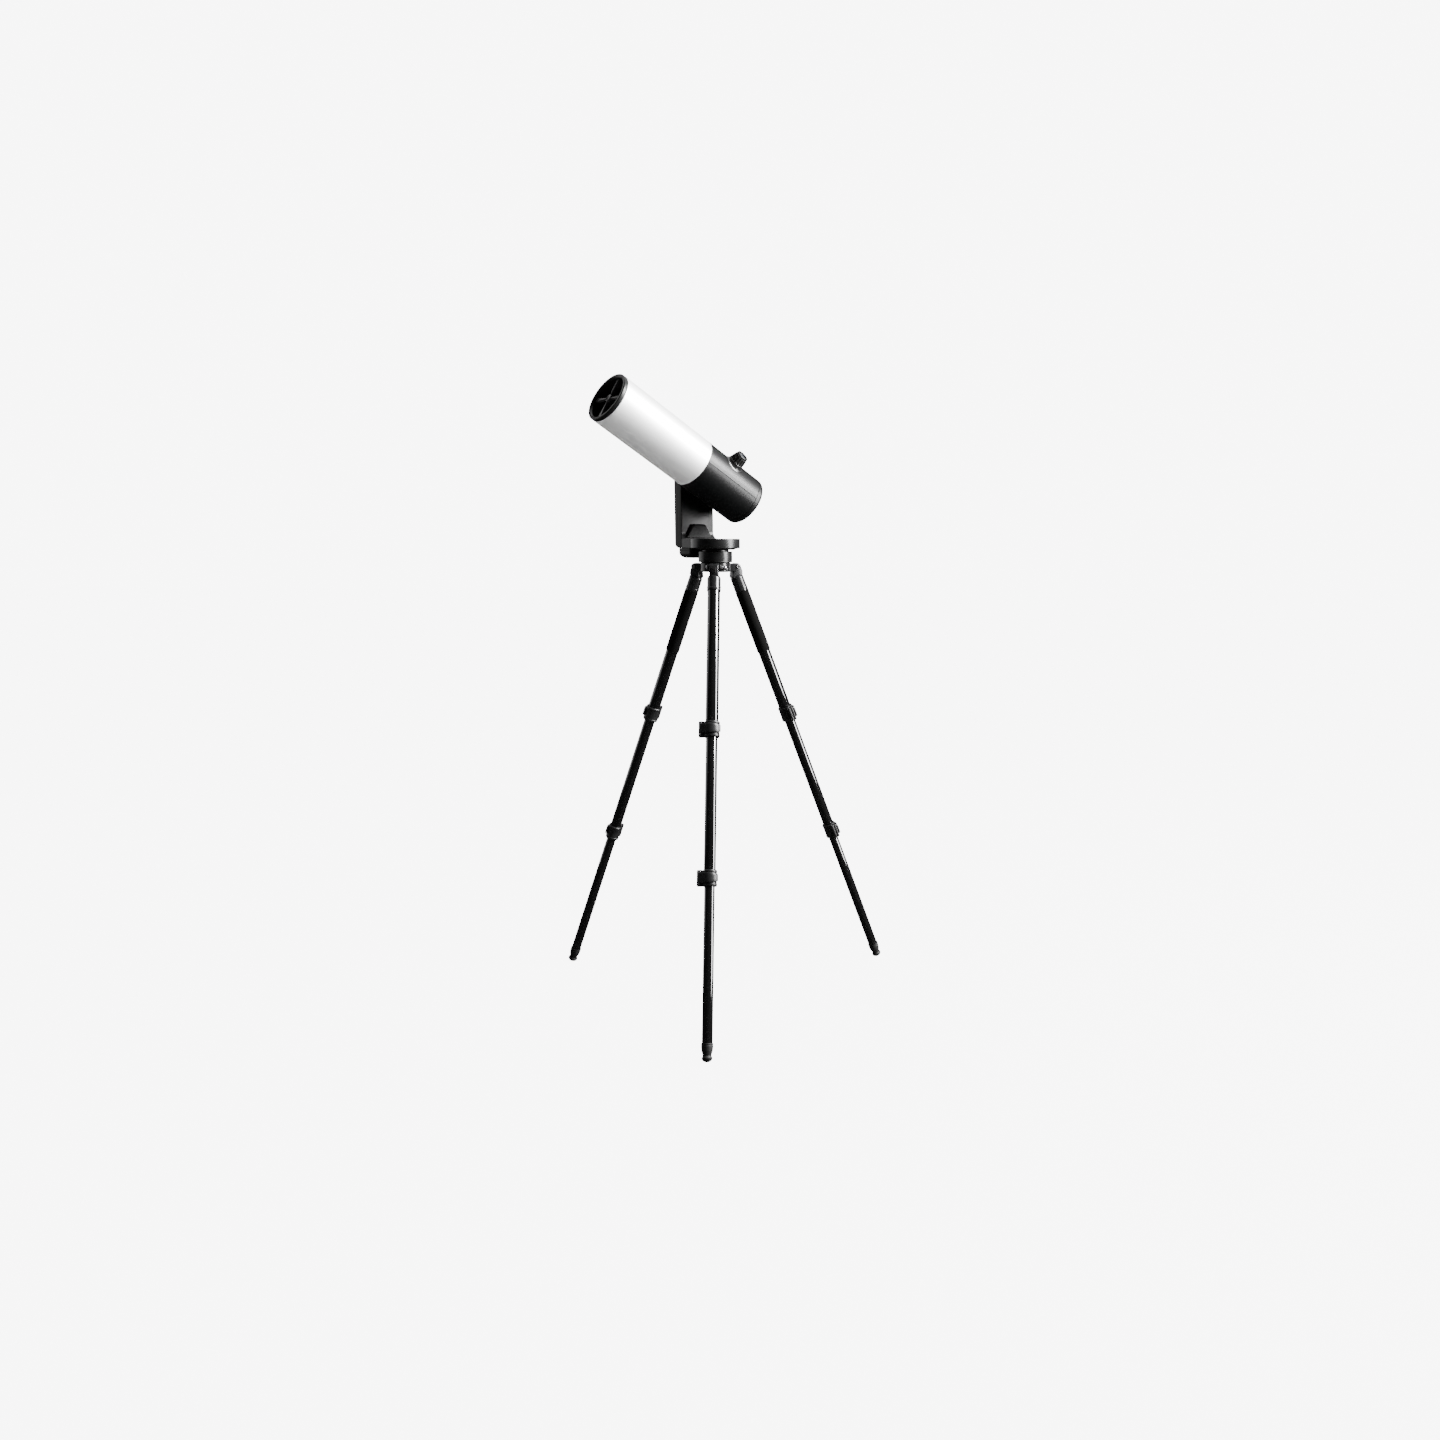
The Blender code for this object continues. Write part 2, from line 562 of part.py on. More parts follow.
def make_power_button(mount):
    """A round push button near the foot of the arm's outer face."""
    profile = [
        (0.0, 0.0018), (BUTTON_RADIUS - 0.0012, 0.0018), (BUTTON_RADIUS, 0.0006), (BUTTON_RADIUS, -0.0040),
        (0.0, -0.0040),
    ]
    return turned(
        "power_button", profile, BRIGHT_METAL, mount, sides=KNOB_ROUND, at=(0, -ARM_OUTER, BUTTON_Z),
        turn=(math.radians(90), 0, 0),
    )


def make_arm_foot_cover(mount):
    """The raised pad on the arm's inner face, wide at the turntable and narrow at its top."""
    bottom = TABLE_TOP + 2 * GAP
    top = 1.3309
    outer = 0.0744
    outline = [(-0.0475, bottom), (0.0475, bottom), (0.0230, top), (-0.0230, top)]
    thickness = ARM_INNER - outer - GAP
    plate = outline_mesh("arm_foot_cover", [outline], thickness)
    pad = add_part("arm_foot_cover", stand_up(plate, -outer - thickness / 2), BLACK_MATTE, mount)
    bevel(pad, 0.0035, segments=1, angle=40.0)
    return boolean(pad, add_tool("pad_fillet", foot_fillet("fillet", GAP), mount))


def make_battery(mount):
    """The battery housing under the arm's foot, open at its top and hollowed to clear the turntable."""
    top = TABLE_RIM - GAP
    bottom = 1.2365
    half_width = 0.0450
    inner = 0.0520
    outer = 0.1165
    size = (2 * half_width, outer - inner, top - bottom)
    middle = (0, -(inner + outer) / 2, (top + bottom) / 2)
    housing = add_part("battery_housing", box_mesh("battery_housing", size), BLACK_SATIN, mount, at=middle)
    bevel(housing, 0.0100, segments=3, angle=60.0)
    wall = 0.0030
    lid = 0.0100  # the bevel also rounds the top edges, so the upper stretch is squared off again
    square = add_tool(
        "battery_housing_top", box_mesh("square", (size[0] - 0.002, size[1] - 0.002, lid)), mount,
        at=(0, middle[1], top - lid / 2),
    )
    boolean(housing, square, "UNION")
    hollow = add_tool(
        "battery_housing_hollow",
        box_mesh("hollow", (size[0] - 4 * wall, size[1] - 4 * wall, size[2])), mount,
        at=(0, middle[1], middle[2] + 2 * wall),
    )
    boolean(housing, hollow)
    clear = add_tool("battery_table_clearance", round_mesh("clear", TABLE_RADIUS + GAP, 0.05), mount)
    clear.location = (0, 0, TABLE_BOTTOM - GAP + 0.025)
    return boolean(housing, clear)


def make_bearing(mount):
    """The altitude bearing's fixed ring, on the arm's inner face."""
    bore = SPINDLE_BORE
    profile = [
        (bore, ARM_INNER - GAP), (BEARING_RADIUS, ARM_INNER - GAP), (BEARING_RADIUS, BEARING_INNER + 0.0032),
        (BEARING_RADIUS - 0.0012, BEARING_INNER + 0.0020), (bore, BEARING_INNER + 0.0020),
    ]
    return turned(
        "altitude_bearing", profile, BRIGHT_METAL, mount, closed=True, at=(0, 0, ALTITUDE_Z),
        turn=(math.radians(90), 0, 0),
    )


# ---------------------------------------------------------------- optical tube
def make_front_ring(tube):
    """The ring at the tube's open end, with a spigot inside the white tube."""
    spigot = TUBE_RADIUS - 0.0018
    profile = [
        (APERTURE + 0.0035, FRONT), (TUBE_RADIUS - 0.0022, FRONT), (TUBE_RADIUS, FRONT - 0.0025),
        (TUBE_RADIUS, RING_BACK), (spigot, RING_BACK), (spigot, RING_BACK - 0.0140),
        (APERTURE, RING_BACK - 0.0140), (APERTURE, FRONT - 0.0045),
    ]
    return turned("front_ring", profile, BLACK_METAL, tube, closed=True, sides=TUBE_ROUND)


def make_spider(tube):
    """Four vanes that flare into a small hub and hold the camera on the axis."""
    reach = APERTURE - GAP
    half = 0.0014
    fillet = 0.0110
    corner = half + fillet
    loop = []
    for quarter in range(4):
        turn = Matrix.Rotation(math.radians(90 * quarter), 2)
        points = [(reach, -half), (reach, half)] + arc((corner, corner), fillet, 270, 180, 5)
        loop += [tuple(turn @ Vector(point)) for point in points]
    mesh = outline_mesh("spider", [loop], 0.0090)
    return add_part("spider", mesh, BLACK_SATIN, tube, at=(0, 0, FRONT - 0.0120))


def make_camera(tube):
    back = FRONT - 0.0165 - GAP
    profile = [
        (0.0, back), (0.0150, back), (0.0165, back - 0.0015), (0.0165, back - 0.0300),
        (0.0120, back - 0.0340), (0.0120, back - 0.0400), (0.0, back - 0.0400),
    ]
    return turned("camera_sensor", profile, BLACK_MATTE, tube, sides=KNOB_ROUND)


def make_white_tube(tube):
    """The white tube: thin walled and open at both ends."""
    inner = TUBE_RADIUS - 0.0015
    return sleeve("white_tube", TUBE_RADIUS, inner, RING_BACK - GAP, JOINT, WHITE_PAINT, tube, sides=TUBE_ROUND)


def make_body_shells(tube, eyepiece):
    """The black body: an upper and a lower half shell that meet on the tube's side seams."""
    top = JOINT - GAP
    bottom = BODY_BACK + GAP
    halves = {"upper_shell": -1, "lower_shell": 1}
    for name, side in halves.items():
        profile = [(SHELL_INNER, top), (TUBE_RADIUS, top), (TUBE_RADIUS, bottom), (SHELL_INNER, bottom)]
        shell = turned(name, profile, BLACK_SATIN, tube, closed=True, sides=TUBE_ROUND)
        other = add_tool(f"{name}_other_half", box_mesh("half", (0.2, 0.3, 0.3)), tube)
        other.location = (-side * (0.1 - GAP / 2), 0, 0)
        boolean(shell, other)
        if name == "upper_shell":
            hole = round_mesh("hole", EYEPIECE_BORE, 0.04, KNOB_ROUND)
            boolean(shell, add_tool("eyepiece_hole", hole, eyepiece, at=(0, 0, TUBE_RADIUS)))


def make_rear_cap(tube):
    """The rounded rear cap, a hollow shell with a recess for the focus knob."""
    wall = 0.0030
    face = REAR
    inner_face = REAR + wall
    flat = TUBE_RADIUS - REAR_ROUNDING
    profile = [(TUBE_RADIUS - wall, BODY_BACK), (TUBE_RADIUS, BODY_BACK)]
    centre_z = REAR + REAR_ROUNDING
    for r, z in arc((flat, centre_z), REAR_ROUNDING, 0, -90, 5):
        profile.append((r, z))
    profile += [(0.0060, face), (0.0060, inner_face)]
    for r, z in arc((flat, centre_z), REAR_ROUNDING - wall, -90, 0, 3):
        profile.append((r, z))
    return turned("rear_cap", profile, BLACK_SATIN, tube, closed=True, sides=TUBE_ROUND)


def make_mirror(tube):
    """The concave primary mirror, and the cup that carries it."""
    back = -0.0960
    edge = back + 0.0130
    sag = 0.0018
    profile = [(0.0, edge - sag)]
    for step in (1, 2):
        radius = MIRROR_RADIUS * step / 2
        profile.append((radius, edge - sag + sag * (step / 2) ** 2))
    profile += [(MIRROR_RADIUS, back), (0.0, back)]
    turned("primary_mirror", profile, MIRROR, tube)
    bore = MIRROR_RADIUS + 0.0005
    rim = SHELL_INNER - 0.0010
    floor = back - GAP
    cell = [
        (bore, edge + 0.0020), (rim, edge + 0.0020), (rim, floor - 0.0040), (0.0120, floor - 0.0040),
        (0.0120, floor), (bore, floor),
    ]
    turned("mirror_cell", cell, BLACK_MATTE, tube, closed=True)


def make_spindle(tube):
    """The altitude spindle: a flange shaped to the tube, and a shaft into the arm."""
    shaft_end = ARM_OUTER - 0.0075
    flange_face = BEARING_INNER + 0.0020 - GAP
    profile = [
        (0.0, shaft_end), (SPINDLE_RADIUS, shaft_end), (SPINDLE_RADIUS, flange_face),
        (0.0380, flange_face), (0.0380, 0.0550), (0.0, 0.0550),
    ]
    spindle = turned("altitude_spindle", profile, BLACK_METAL, tube, turn=(math.radians(90), 0, 0))
    clear = add_tool(
        "spindle_tube_clearance", round_mesh("clear", TUBE_RADIUS + GAP, 0.3, 64), tube
    )
    return boolean(spindle, clear)


def make_eyepiece(tube, eyepiece):
    """The eyepiece on the upper shell: a flared collar, the barrel, and the diopter ring round it."""
    flare = [
        (0.0199, 0.0795), (0.0222, 0.0795), (0.0232, 0.0765), (0.0252, 0.0738), (0.0288, 0.0722),
        (0.0288, 0.0600), (0.0199, 0.0600),
    ]
    collar = turned("eyepiece_collar", flare, BLACK_SATIN, eyepiece, closed=True, sides=KNOB_ROUND)
    clear = add_tool("collar_tube_clearance", round_mesh("clear", TUBE_RADIUS + GAP, 0.2, 64), tube)
    boolean(collar, clear)
    barrel = [
        (0.0, 0.1020), (0.0135, 0.1020), (0.0145, 0.1045), (0.0158, 0.1045), (0.0168, 0.1030),
        (0.0168, 0.0990), (0.0150, 0.0990), (0.0150, 0.0798), (0.0196, 0.0798), (0.0196, 0.0640), (0.0, 0.0640),
    ]
    turned("eyepiece_barrel", barrel, BLACK_SATIN, eyepiece, sides=KNOB_ROUND)
    ring = [
        (0.0153, 0.0987), (0.0172, 0.0987), (0.0184, 0.0975), (0.0216, 0.0812), (0.0212, 0.0801),
        (0.0153, 0.0801),
    ]
    turned("diopter_ring", ring, BLACK_MATTE, eyepiece, closed=True, sides=KNOB_ROUND)


def make_focus_knob(tube):
    """The focus knob on the rear cap, on the tube's axis."""
    stem = 0.0055
    profile = [
        (0.0, REAR + 0.0060), (stem, REAR + 0.0060), (stem, REAR - GAP), (0.0155, REAR - GAP),
        (0.0170, REAR - 0.0020), (0.0170, REAR - 0.0090), (0.0150, REAR - 0.0110), (0.0, REAR - 0.0110),
    ]
    return turned("focus_knob", profile, BLACK_MATTE, tube, sides=KNOB_ROUND)


def main():
    clear_scene()
    new_collection(COLLECTION)
    new_collection("cutters")
    axis = frame("tripod_axis", at=(0, AXIS_Y, 0))
    make_shoulder(axis)
    make_bubble_level(axis)
    make_lock_screw(axis)
    for leg, azimuth in LEGS.items():
        make_leg(leg, azimuth, axis)

    make_pedestal(axis)
    mount = frame("azimuth_axis", axis, turn=(0, 0, HEADING))
    make_turntable(mount)
    make_arm(mount)
    make_power_button(mount)
    make_arm_foot_cover(mount)
    make_battery(mount)
    make_bearing(mount)

    tube = frame("altitude_axis", mount, at=(0, 0, ALTITUDE_Z), turn=(0, math.pi / 2 - ALTITUDE, 0))
    outward = (0, math.pi / 2, math.pi - EYEPIECE_ROLL)
    eyepiece = frame("eyepiece_axis", tube, at=(0, 0, EYEPIECE_AT), turn=outward)
    make_front_ring(tube)
    make_spider(tube)
    make_camera(tube)
    make_white_tube(tube)
    make_body_shells(tube, eyepiece)
    make_rear_cap(tube)
    make_mirror(tube)
    make_spindle(tube)
    make_eyepiece(tube, eyepiece)
    make_focus_knob(tube)


main()
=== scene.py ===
"""The telescope on its tripod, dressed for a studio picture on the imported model's frame."""

import json
import math

import bmesh
import bpy
from mathutils import Matrix, Vector


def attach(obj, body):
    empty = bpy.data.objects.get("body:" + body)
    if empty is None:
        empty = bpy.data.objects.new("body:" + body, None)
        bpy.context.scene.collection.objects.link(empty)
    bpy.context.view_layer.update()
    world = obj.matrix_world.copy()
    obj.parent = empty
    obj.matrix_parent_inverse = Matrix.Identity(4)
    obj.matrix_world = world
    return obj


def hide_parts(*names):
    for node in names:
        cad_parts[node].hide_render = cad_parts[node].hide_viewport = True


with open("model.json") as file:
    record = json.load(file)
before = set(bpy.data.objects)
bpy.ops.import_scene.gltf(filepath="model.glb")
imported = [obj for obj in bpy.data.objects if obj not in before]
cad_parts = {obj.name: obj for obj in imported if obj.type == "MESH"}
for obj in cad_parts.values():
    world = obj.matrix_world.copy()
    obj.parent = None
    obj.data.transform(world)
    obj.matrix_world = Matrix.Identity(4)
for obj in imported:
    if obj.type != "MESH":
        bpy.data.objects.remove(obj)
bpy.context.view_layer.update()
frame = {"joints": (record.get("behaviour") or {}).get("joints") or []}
JOINTS = {joint["name"]: joint for joint in frame["joints"]}

# ---------------------------------------------------------------- sizes, as in the CAD, in metres
GAP = 0.0003  # clearance between neighbours
FINE = 96  # sides of a large round piece
MEDIUM = 48
SMALL = 28

# tripod head: distances from the tripod's middle
SHOULDER_RADIUS = 0.0415
NOTCH = 0.0290  # inner end of the notch for a leg's knuckle
CHEEK_INNER = 0.0123  # of a fork, from the leg's middle plane
CHEEK_OUTER = 0.0180
LEVEL_AZIMUTH = -60.0  # of the bubble level, between the front and right legs
LEVEL_OUT = 0.0535

# legs: distances down the leg from its hinge
HINGE_OUT = 0.0075  # from the leg's own line to the hinge bolt
KNUCKLE_RADIUS = 0.0100
UPPER_TUBE_TOP = 0.0295
COLLAR_BOTTOM = 0.0665
GRIP_TOP = 0.0697
GRIP_BOTTOM = 0.2554
UPPER_LOCK = 0.4547
LOWER_LOCK = 0.8486
FOOT_TOP = 1.2597
FOOT_BORE_DEPTH = 0.0120
FOOT_DOME = 0.0152
UPPER_RADIUS = 0.0170
MIDDLE_RADIUS = 0.01525
LOWER_RADIUS = 0.0135
TUBE_WALL = 0.0013
LOCK_HEIGHT = 0.042
NEST = 0.045  # how far a section stays inside the one above

# mount: heights above the floor, and distances from its turning axis
PEDESTAL_RADIUS = 0.0465
PEDESTAL_TOP = 1.2555
BATTERY_BOTTOM = 1.2365
TABLE_RADIUS = 0.0680
TABLE_BOTTOM = 1.2605
TABLE_RIM = 1.2645
TABLE_TOP = 1.2907
BUTTON_Z = TABLE_TOP + 0.0300
PAD_TOP = 1.3309
ARM_HALF_WIDTH = 0.0539
ARM_CORNER = 0.0040
ARM_INNER = 0.0844
ARM_OUTER = 0.1211
ARM_SEAM = 0.1030
ARM_FILLET = 0.0200
SEAM_EDGE = 0.0005  # eased edge on each side of the arm's seam

# optical tube: positions along its axis from the altitude axis, towards its open end
TUBE_RADIUS = 0.0700
APERTURE = 0.0595
FRONT = 0.3872
RING_BACK = 0.3757
JOINT = 0.0788  # where the white tube meets the rear body
BODY_BACK = -0.1050
MIRROR_BACK = -0.0960
MIRROR_EDGE = MIRROR_BACK + 0.0130
MIRROR_RADIUS = 0.0570
REAR = -0.1255
REAR_ROUNDING = 0.0120


# ---------------------------------------------------------------- frames, from the record's joints
def axes_frame(origin, x, y, z):
    matrix = Matrix((x, y, z)).transposed().to_4x4()
    matrix.translation = origin
    return matrix


def leg_frame(leg):
    """Origin on the hinge: X out and up, Y across the leg, Z up the leg."""
    hinge = JOINTS[f"{leg}_leg_fold"]
    up = -Vector(JOINTS[f"{leg}_middle_slide"]["axis"])
    across = Vector(hinge["axis"])
    return axes_frame(Vector(hinge["pos_m"]), across.cross(up), across, up)


AXIS = Vector(JOINTS["azimuth_turn"]["pos_m"]) * Vector((1, 1, 0))
ALTITUDE_AT = Vector(JOINTS["altitude_turn"]["pos_m"])
FREE_SIDE = -Vector(JOINTS["altitude_turn"]["axis"])
ALONG = Vector(JOINTS["focus_turn"]["axis"])
OUTWARD = Vector(JOINTS["diopter_turn"]["axis"])
UP = Vector((0, 0, 1))
HINGE_Z = JOINTS["front_leg_fold"]["pos_m"][2]
HINGE_RADIUS = AXIS.y - JOINTS["front_leg_fold"]["pos_m"][1]
AZIMUTHS = {"front": -90.0, "left": 150.0, "right": 30.0}

HEAD = Matrix.Translation(AXIS)
MOUNT = axes_frame(AXIS, FREE_SIDE.cross(UP), FREE_SIDE, UP)
TUBE = axes_frame(ALTITUDE_AT, FREE_SIDE.cross(ALONG), FREE_SIDE, ALONG)
EYEPIECE = axes_frame(Vector(JOINTS["diopter_turn"]["pos_m"]), ALONG, OUTWARD.cross(ALONG), OUTWARD)
SIDEWAYS = Matrix.Rotation(math.radians(90), 4, "X")  # local Z becomes -Y
STANDING = axes_frame((0, 0, 0), (0, 1, 0), (0, 0, 1), (1, 0, 0))  # local Y becomes Z
ARM_AXIS = MOUNT @ Matrix.Translation((0, 0, ALTITUDE_AT.z)) @ SIDEWAYS


# ---------------------------------------------------------------- finishes
UNEVEN = 0.18  # share by which the roughness varies either way
RELIEF = 0.0004  # depth of a surface's grain


def finish(
    name, colour, roughness, metallic=0.0, grain=900.0, bump=0.05, wear=0.12, coat=0.0, coat_roughness=0.1,
    ior=1.5, anisotropic=0.0, mottle=35.0,
):
    """A painted, moulded or machined surface: fine grain in the relief, uneven gloss, and faint wear."""
    material = bpy.data.materials.new(name)
    material.use_nodes = True
    nodes, links = material.node_tree.nodes, material.node_tree.links
    shader = nodes["Principled BSDF"]
    shader.inputs["Metallic"].default_value = metallic
    shader.inputs["IOR"].default_value = ior
    shader.inputs["Anisotropic"].default_value = anisotropic
    shader.inputs["Coat Weight"].default_value = coat
    shader.inputs["Coat Roughness"].default_value = coat_roughness
    place = nodes.new("ShaderNodeTexCoord")

    def noise(size, detail):
        node = nodes.new("ShaderNodeTexNoise")
        node.inputs["Scale"].default_value = size
        node.inputs["Detail"].default_value = detail
        links.new(place.outputs["Object"], node.inputs["Vector"])
        return node

    patches = noise(mottle, detail=5.0)
    fine = noise(grain, detail=3.0)

    tone = nodes.new("ShaderNodeMixRGB")
    tone.inputs["Color1"].default_value = (*(c * (1 - wear) for c in colour), 1)
    tone.inputs["Color2"].default_value = (*(min(1.0, c * (1 + wear)) for c in colour), 1)
    links.new(patches.outputs["Fac"], tone.inputs["Fac"])
    links.new(tone.outputs["Color"], shader.inputs["Base Color"])

    gloss = nodes.new("ShaderNodeMapRange")
    gloss.inputs["To Min"].default_value = roughness * (1 - UNEVEN)
    gloss.inputs["To Max"].default_value = min(1.0, roughness * (1 + UNEVEN))
    links.new(fine.outputs["Fac"], gloss.inputs["Value"])
    links.new(gloss.outputs["Result"], shader.inputs["Roughness"])

    relief = nodes.new("ShaderNodeBump")
    relief.inputs["Strength"].default_value = bump
    relief.inputs["Distance"].default_value = RELIEF
    links.new(fine.outputs["Fac"], relief.inputs["Height"])
    links.new(relief.outputs["Normal"], shader.inputs["Normal"])
    return material


def glass(name, colour, roughness):
    material = finish(name, colour, roughness, bump=0.01)
    material.node_tree.nodes["Principled BSDF"].inputs["Transmission Weight"].default_value = 0.6
    return material


WHITE = finish("white enamel", (0.84, 0.84, 0.84), 0.46, metallic=0.6, grain=1400, bump=0.06, wear=0.02)
TUBE_LINING = finish("flocked lining", (0.006, 0.006, 0.006), 0.95, bump=0.4)
BODY = finish("satin body", (0.0025, 0.0025, 0.0026), 0.34, grain=1600, bump=0.12, ior=1.26)
RING = finish("front ring", (0.004, 0.004, 0.004), 0.34, bump=0.05, ior=1.25)
VANE = finish("vane", (0.022, 0.022, 0.0225), 0.36, bump=0.05)
INNER = finish("matte black", (0.003, 0.003, 0.003), 0.80, bump=0.2, ior=1.2)
MOUNT_SKIN = finish("mount moulding", (0.004, 0.004, 0.0041), 0.30, grain=1500, bump=0.10, ior=1.36)
ARM_SKIN = finish("arm moulding", (0.003, 0.003, 0.0031), 0.34, grain=1500, bump=0.10, ior=1.22)
PAD_SKIN = finish("pad moulding", (0.002, 0.002, 0.002), 0.55, grain=1500, bump=0.18, ior=1.18)
CAST = finish("black casting", (0.005, 0.005, 0.0052), 0.22, metallic=0.1, grain=500, bump=0.08, ior=1.4)
SLEEVE = finish(
    "collar casting", (0.010, 0.010, 0.0104), 0.24, metallic=0.3, grain=500, bump=0.08, ior=1.45,
)
LEG = finish(
    "black anodised", (0.050, 0.050, 0.051), 0.07, metallic=0.95, grain=300, bump=0.008, wear=0.06,
    coat=0.4, coat_roughness=0.04,
)
LOCK = finish("lock moulding", (0.006, 0.006, 0.0062), 0.36, grain=700, bump=0.10, ior=1.35)
BRIGHT = finish("bright metal", (0.62, 0.62, 0.63), 0.20, metallic=1.0, bump=0.03, wear=0.08)
MACHINED = finish("machined ring", (0.30, 0.30, 0.302), 0.28, metallic=1.0, bump=0.05, anisotropic=0.5)
COLLAR = finish("eyepiece collar", (0.006, 0.006, 0.0062), 0.30, grain=1200, bump=0.08, ior=1.5)
RUBBER = finish("rubber", (0.004, 0.004, 0.004), 0.60, grain=600, bump=0.22, ior=1.3)
FOAM = finish("foam", (0.002, 0.002, 0.002), 0.90, grain=1100, bump=0.8, mottle=120, ior=1.10)
EYE_SKIN = finish("eyepiece skin", (0.005, 0.005, 0.0052), 0.34, bump=0.06, ior=1.35)
MIRROR = finish("mirror coating", (0.90, 0.90, 0.91), 0.03, metallic=1.0, bump=0.0, wear=0.01)
VIAL = glass("vial", (0.66, 0.80, 0.35), 0.08)
LENS = glass("lens", (0.05, 0.055, 0.065), 0.05)


# ---------------------------------------------------------------- building blocks
def on_circle(centre, radius, degrees):
    angle = math.radians(degrees)
    return centre[0] + radius * math.cos(angle), centre[1] + radius * math.sin(angle)


def arc(centre, radius, start, end, steps):
    return [on_circle(centre, radius, start + (end - start) * i / steps) for i in range(steps + 1)]


def circle(radius):
    return arc((0, 0), radius, 0, 360, FINE)[:-1]


def quarter_round(steps):
    """A quarter circle of radius one: how far each step stands in, and how far along it has come."""
    turns = [math.pi / 2 * k / steps for k in range(steps + 1)]
    return [(1 - math.sin(turn), 1 - math.cos(turn)) for turn in turns]


def oblong(half_width, low, high):
    """A rectangle about the Y axis, anticlockwise from its lower left corner."""
    return [(-half_width, low), (half_width, low), (half_width, high), (-half_width, high)]


def softened(points, radius, closed=True, steps=4):
    """The outline with each corner rounded, by at most the radius."""
    corners = [Vector(point) for point in points]
    count = len(corners)
    out = []
    for i, corner in enumerate(corners):
        if not closed and i in (0, count - 1):
            out.append(tuple(corner))
            continue
        before, after = corners[i - 1] - corner, corners[(i + 1) % count] - corner
        reach = min(radius, before.length * 0.45, after.length * 0.45)
        a, b = corner + before.normalized() * reach, corner + after.normalized() * reach
        for k in range(steps + 1):
            t = k / steps
            out.append(tuple(a * (1 - t) ** 2 + corner * 2 * t * (1 - t) + b * t * t))
    return out


def inset(outline, distance):
    """The closed outline moved inwards; it runs anticlockwise."""
    points = [Vector(point) for point in outline]
    out = []
    for i, point in enumerate(points):
        before = (point - points[i - 1]).normalized()
        after = (points[(i + 1) % len(points)] - point).normalized()
        normal = Vector((-before.y - after.y, before.x + after.x))
        if normal.length < 1e-6:
            normal = Vector((-before.y, before.x))
        normal.normalize()
        lean = max(0.5, normal.dot(Vector((-before.y, before.x))))
        out.append(tuple(point + normal * distance / lean))
    return out


def loft(bm, rings, matrix, loop=False):
    """Faces between successive rings of points, capped at both ends unless the rings form a loop."""
    rows = [[bm.verts.new(matrix @ Vector(point)) for point in ring] for ring in rings]
    pairs = list(zip(rows, rows[1:])) + ([(rows[-1], rows[0])] if loop else [])
    for low, high in pairs:
        for i in range(len(low)):
            j = (i + 1) % len(low)
            bm.faces.new((low[i], low[j], high[j], high[i]))
    if not loop:
        for row in (rows[0], rows[-1]):
            bm.faces.new(row)


RIB_EDGE = 3.0  # how steeply a rib's flank falls


def lathe(bm, profile, matrix, sides=MEDIUM, closed=False, ribs=None, rib_rows=(), materials=None):
    """Turns a (radius, height) profile about Z. Ribs are (count, depth), on the rows named."""
    rows = []
    for index, (radius, height) in enumerate(profile):
        if radius == 0.0:
            rows.append([bm.verts.new(matrix @ Vector((0, 0, height)))])
            continue
        row = []
        for i in range(sides):
            angle = math.tau * i / sides
            r = radius
            if ribs and index in rib_rows:
                count, depth = ribs
                r -= depth * (0.5 + 0.5 * math.tanh(RIB_EDGE * math.cos(count * angle)))
            row.append(bm.verts.new(matrix @ Vector((r * math.cos(angle), r * math.sin(angle), height))))
        rows.append(row)
    pairs = list(zip(rows, rows[1:])) + ([(rows[-1], rows[0])] if closed else [])
    for index, (a, b) in enumerate(pairs):
        for i in range(sides):
            j = (i + 1) % sides
            corners = [a[i % len(a)], a[j % len(a)], b[j % len(b)], b[i % len(b)]]
            unique = list(dict.fromkeys(corners))
            if len(unique) > 2:
                face = bm.faces.new(unique)
                face.material_index = materials[index] if materials else 0


def slab(bm, outline, thickness, matrix, edge=0.001, steps=3):
    """An outline in XY given thickness about Z, with its edges rounded."""
    half = thickness / 2
    lower = [(edge * inwards, edge * along - half) for inwards, along in quarter_round(steps)]
    upper = [(step_in, -height) for step_in, height in reversed(lower)]
    rings = [[(x, y, height) for x, y in inset(outline, step_in)] for step_in, height in lower + upper]
    loft(bm, rings, matrix)


def piece(name, bm, materials, body, nodes, angle=32.0):
    """Finishes a mesh as a shown piece that rides on a body and stands for CAD nodes."""
    bmesh.ops.recalc_face_normals(bm, faces=bm.faces)
    mesh = bpy.data.meshes.new(name)
    bm.to_mesh(mesh)
    bm.free()
    mesh.shade_smooth()
    mesh.set_sharp_from_angle(angle=math.radians(angle))
    for material in materials if isinstance(materials, (list, tuple)) else [materials]:
        mesh.materials.append(material)
    obj = bpy.data.objects.new(name, mesh)
    bpy.context.scene.collection.objects.link(obj)
    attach(obj, body)
    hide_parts(*nodes)


def turned(name, profile, matrix, material, body, node, slot, **options):
    """A piece made of one turned profile."""
    bm = bmesh.new()
    lathe(bm, profile, matrix, **options)
    piece(name, bm, material, body, [node])


def shift(x=0.0, y=0.0, z=0.0):
    return Matrix.Translation((x, y, z))


def spin(degrees, axis):
    return Matrix.Rotation(math.radians(degrees), 4, axis)


def screw_head(bm, matrix, radius=0.0042, height=0.0022, material=0):
    """A socket-head screw, its head rising along Z from the surface."""
    socket = radius * 0.48
    profile = [
        (0.0, height * 0.25), (socket, height * 0.25), (socket, height), (radius * 0.86, height),
        (radius, height * 0.8), (radius, -0.0006), (0.0, -0.0006),
    ]
    lathe(bm, profile, matrix, sides=18, materials=[material] * len(profile))


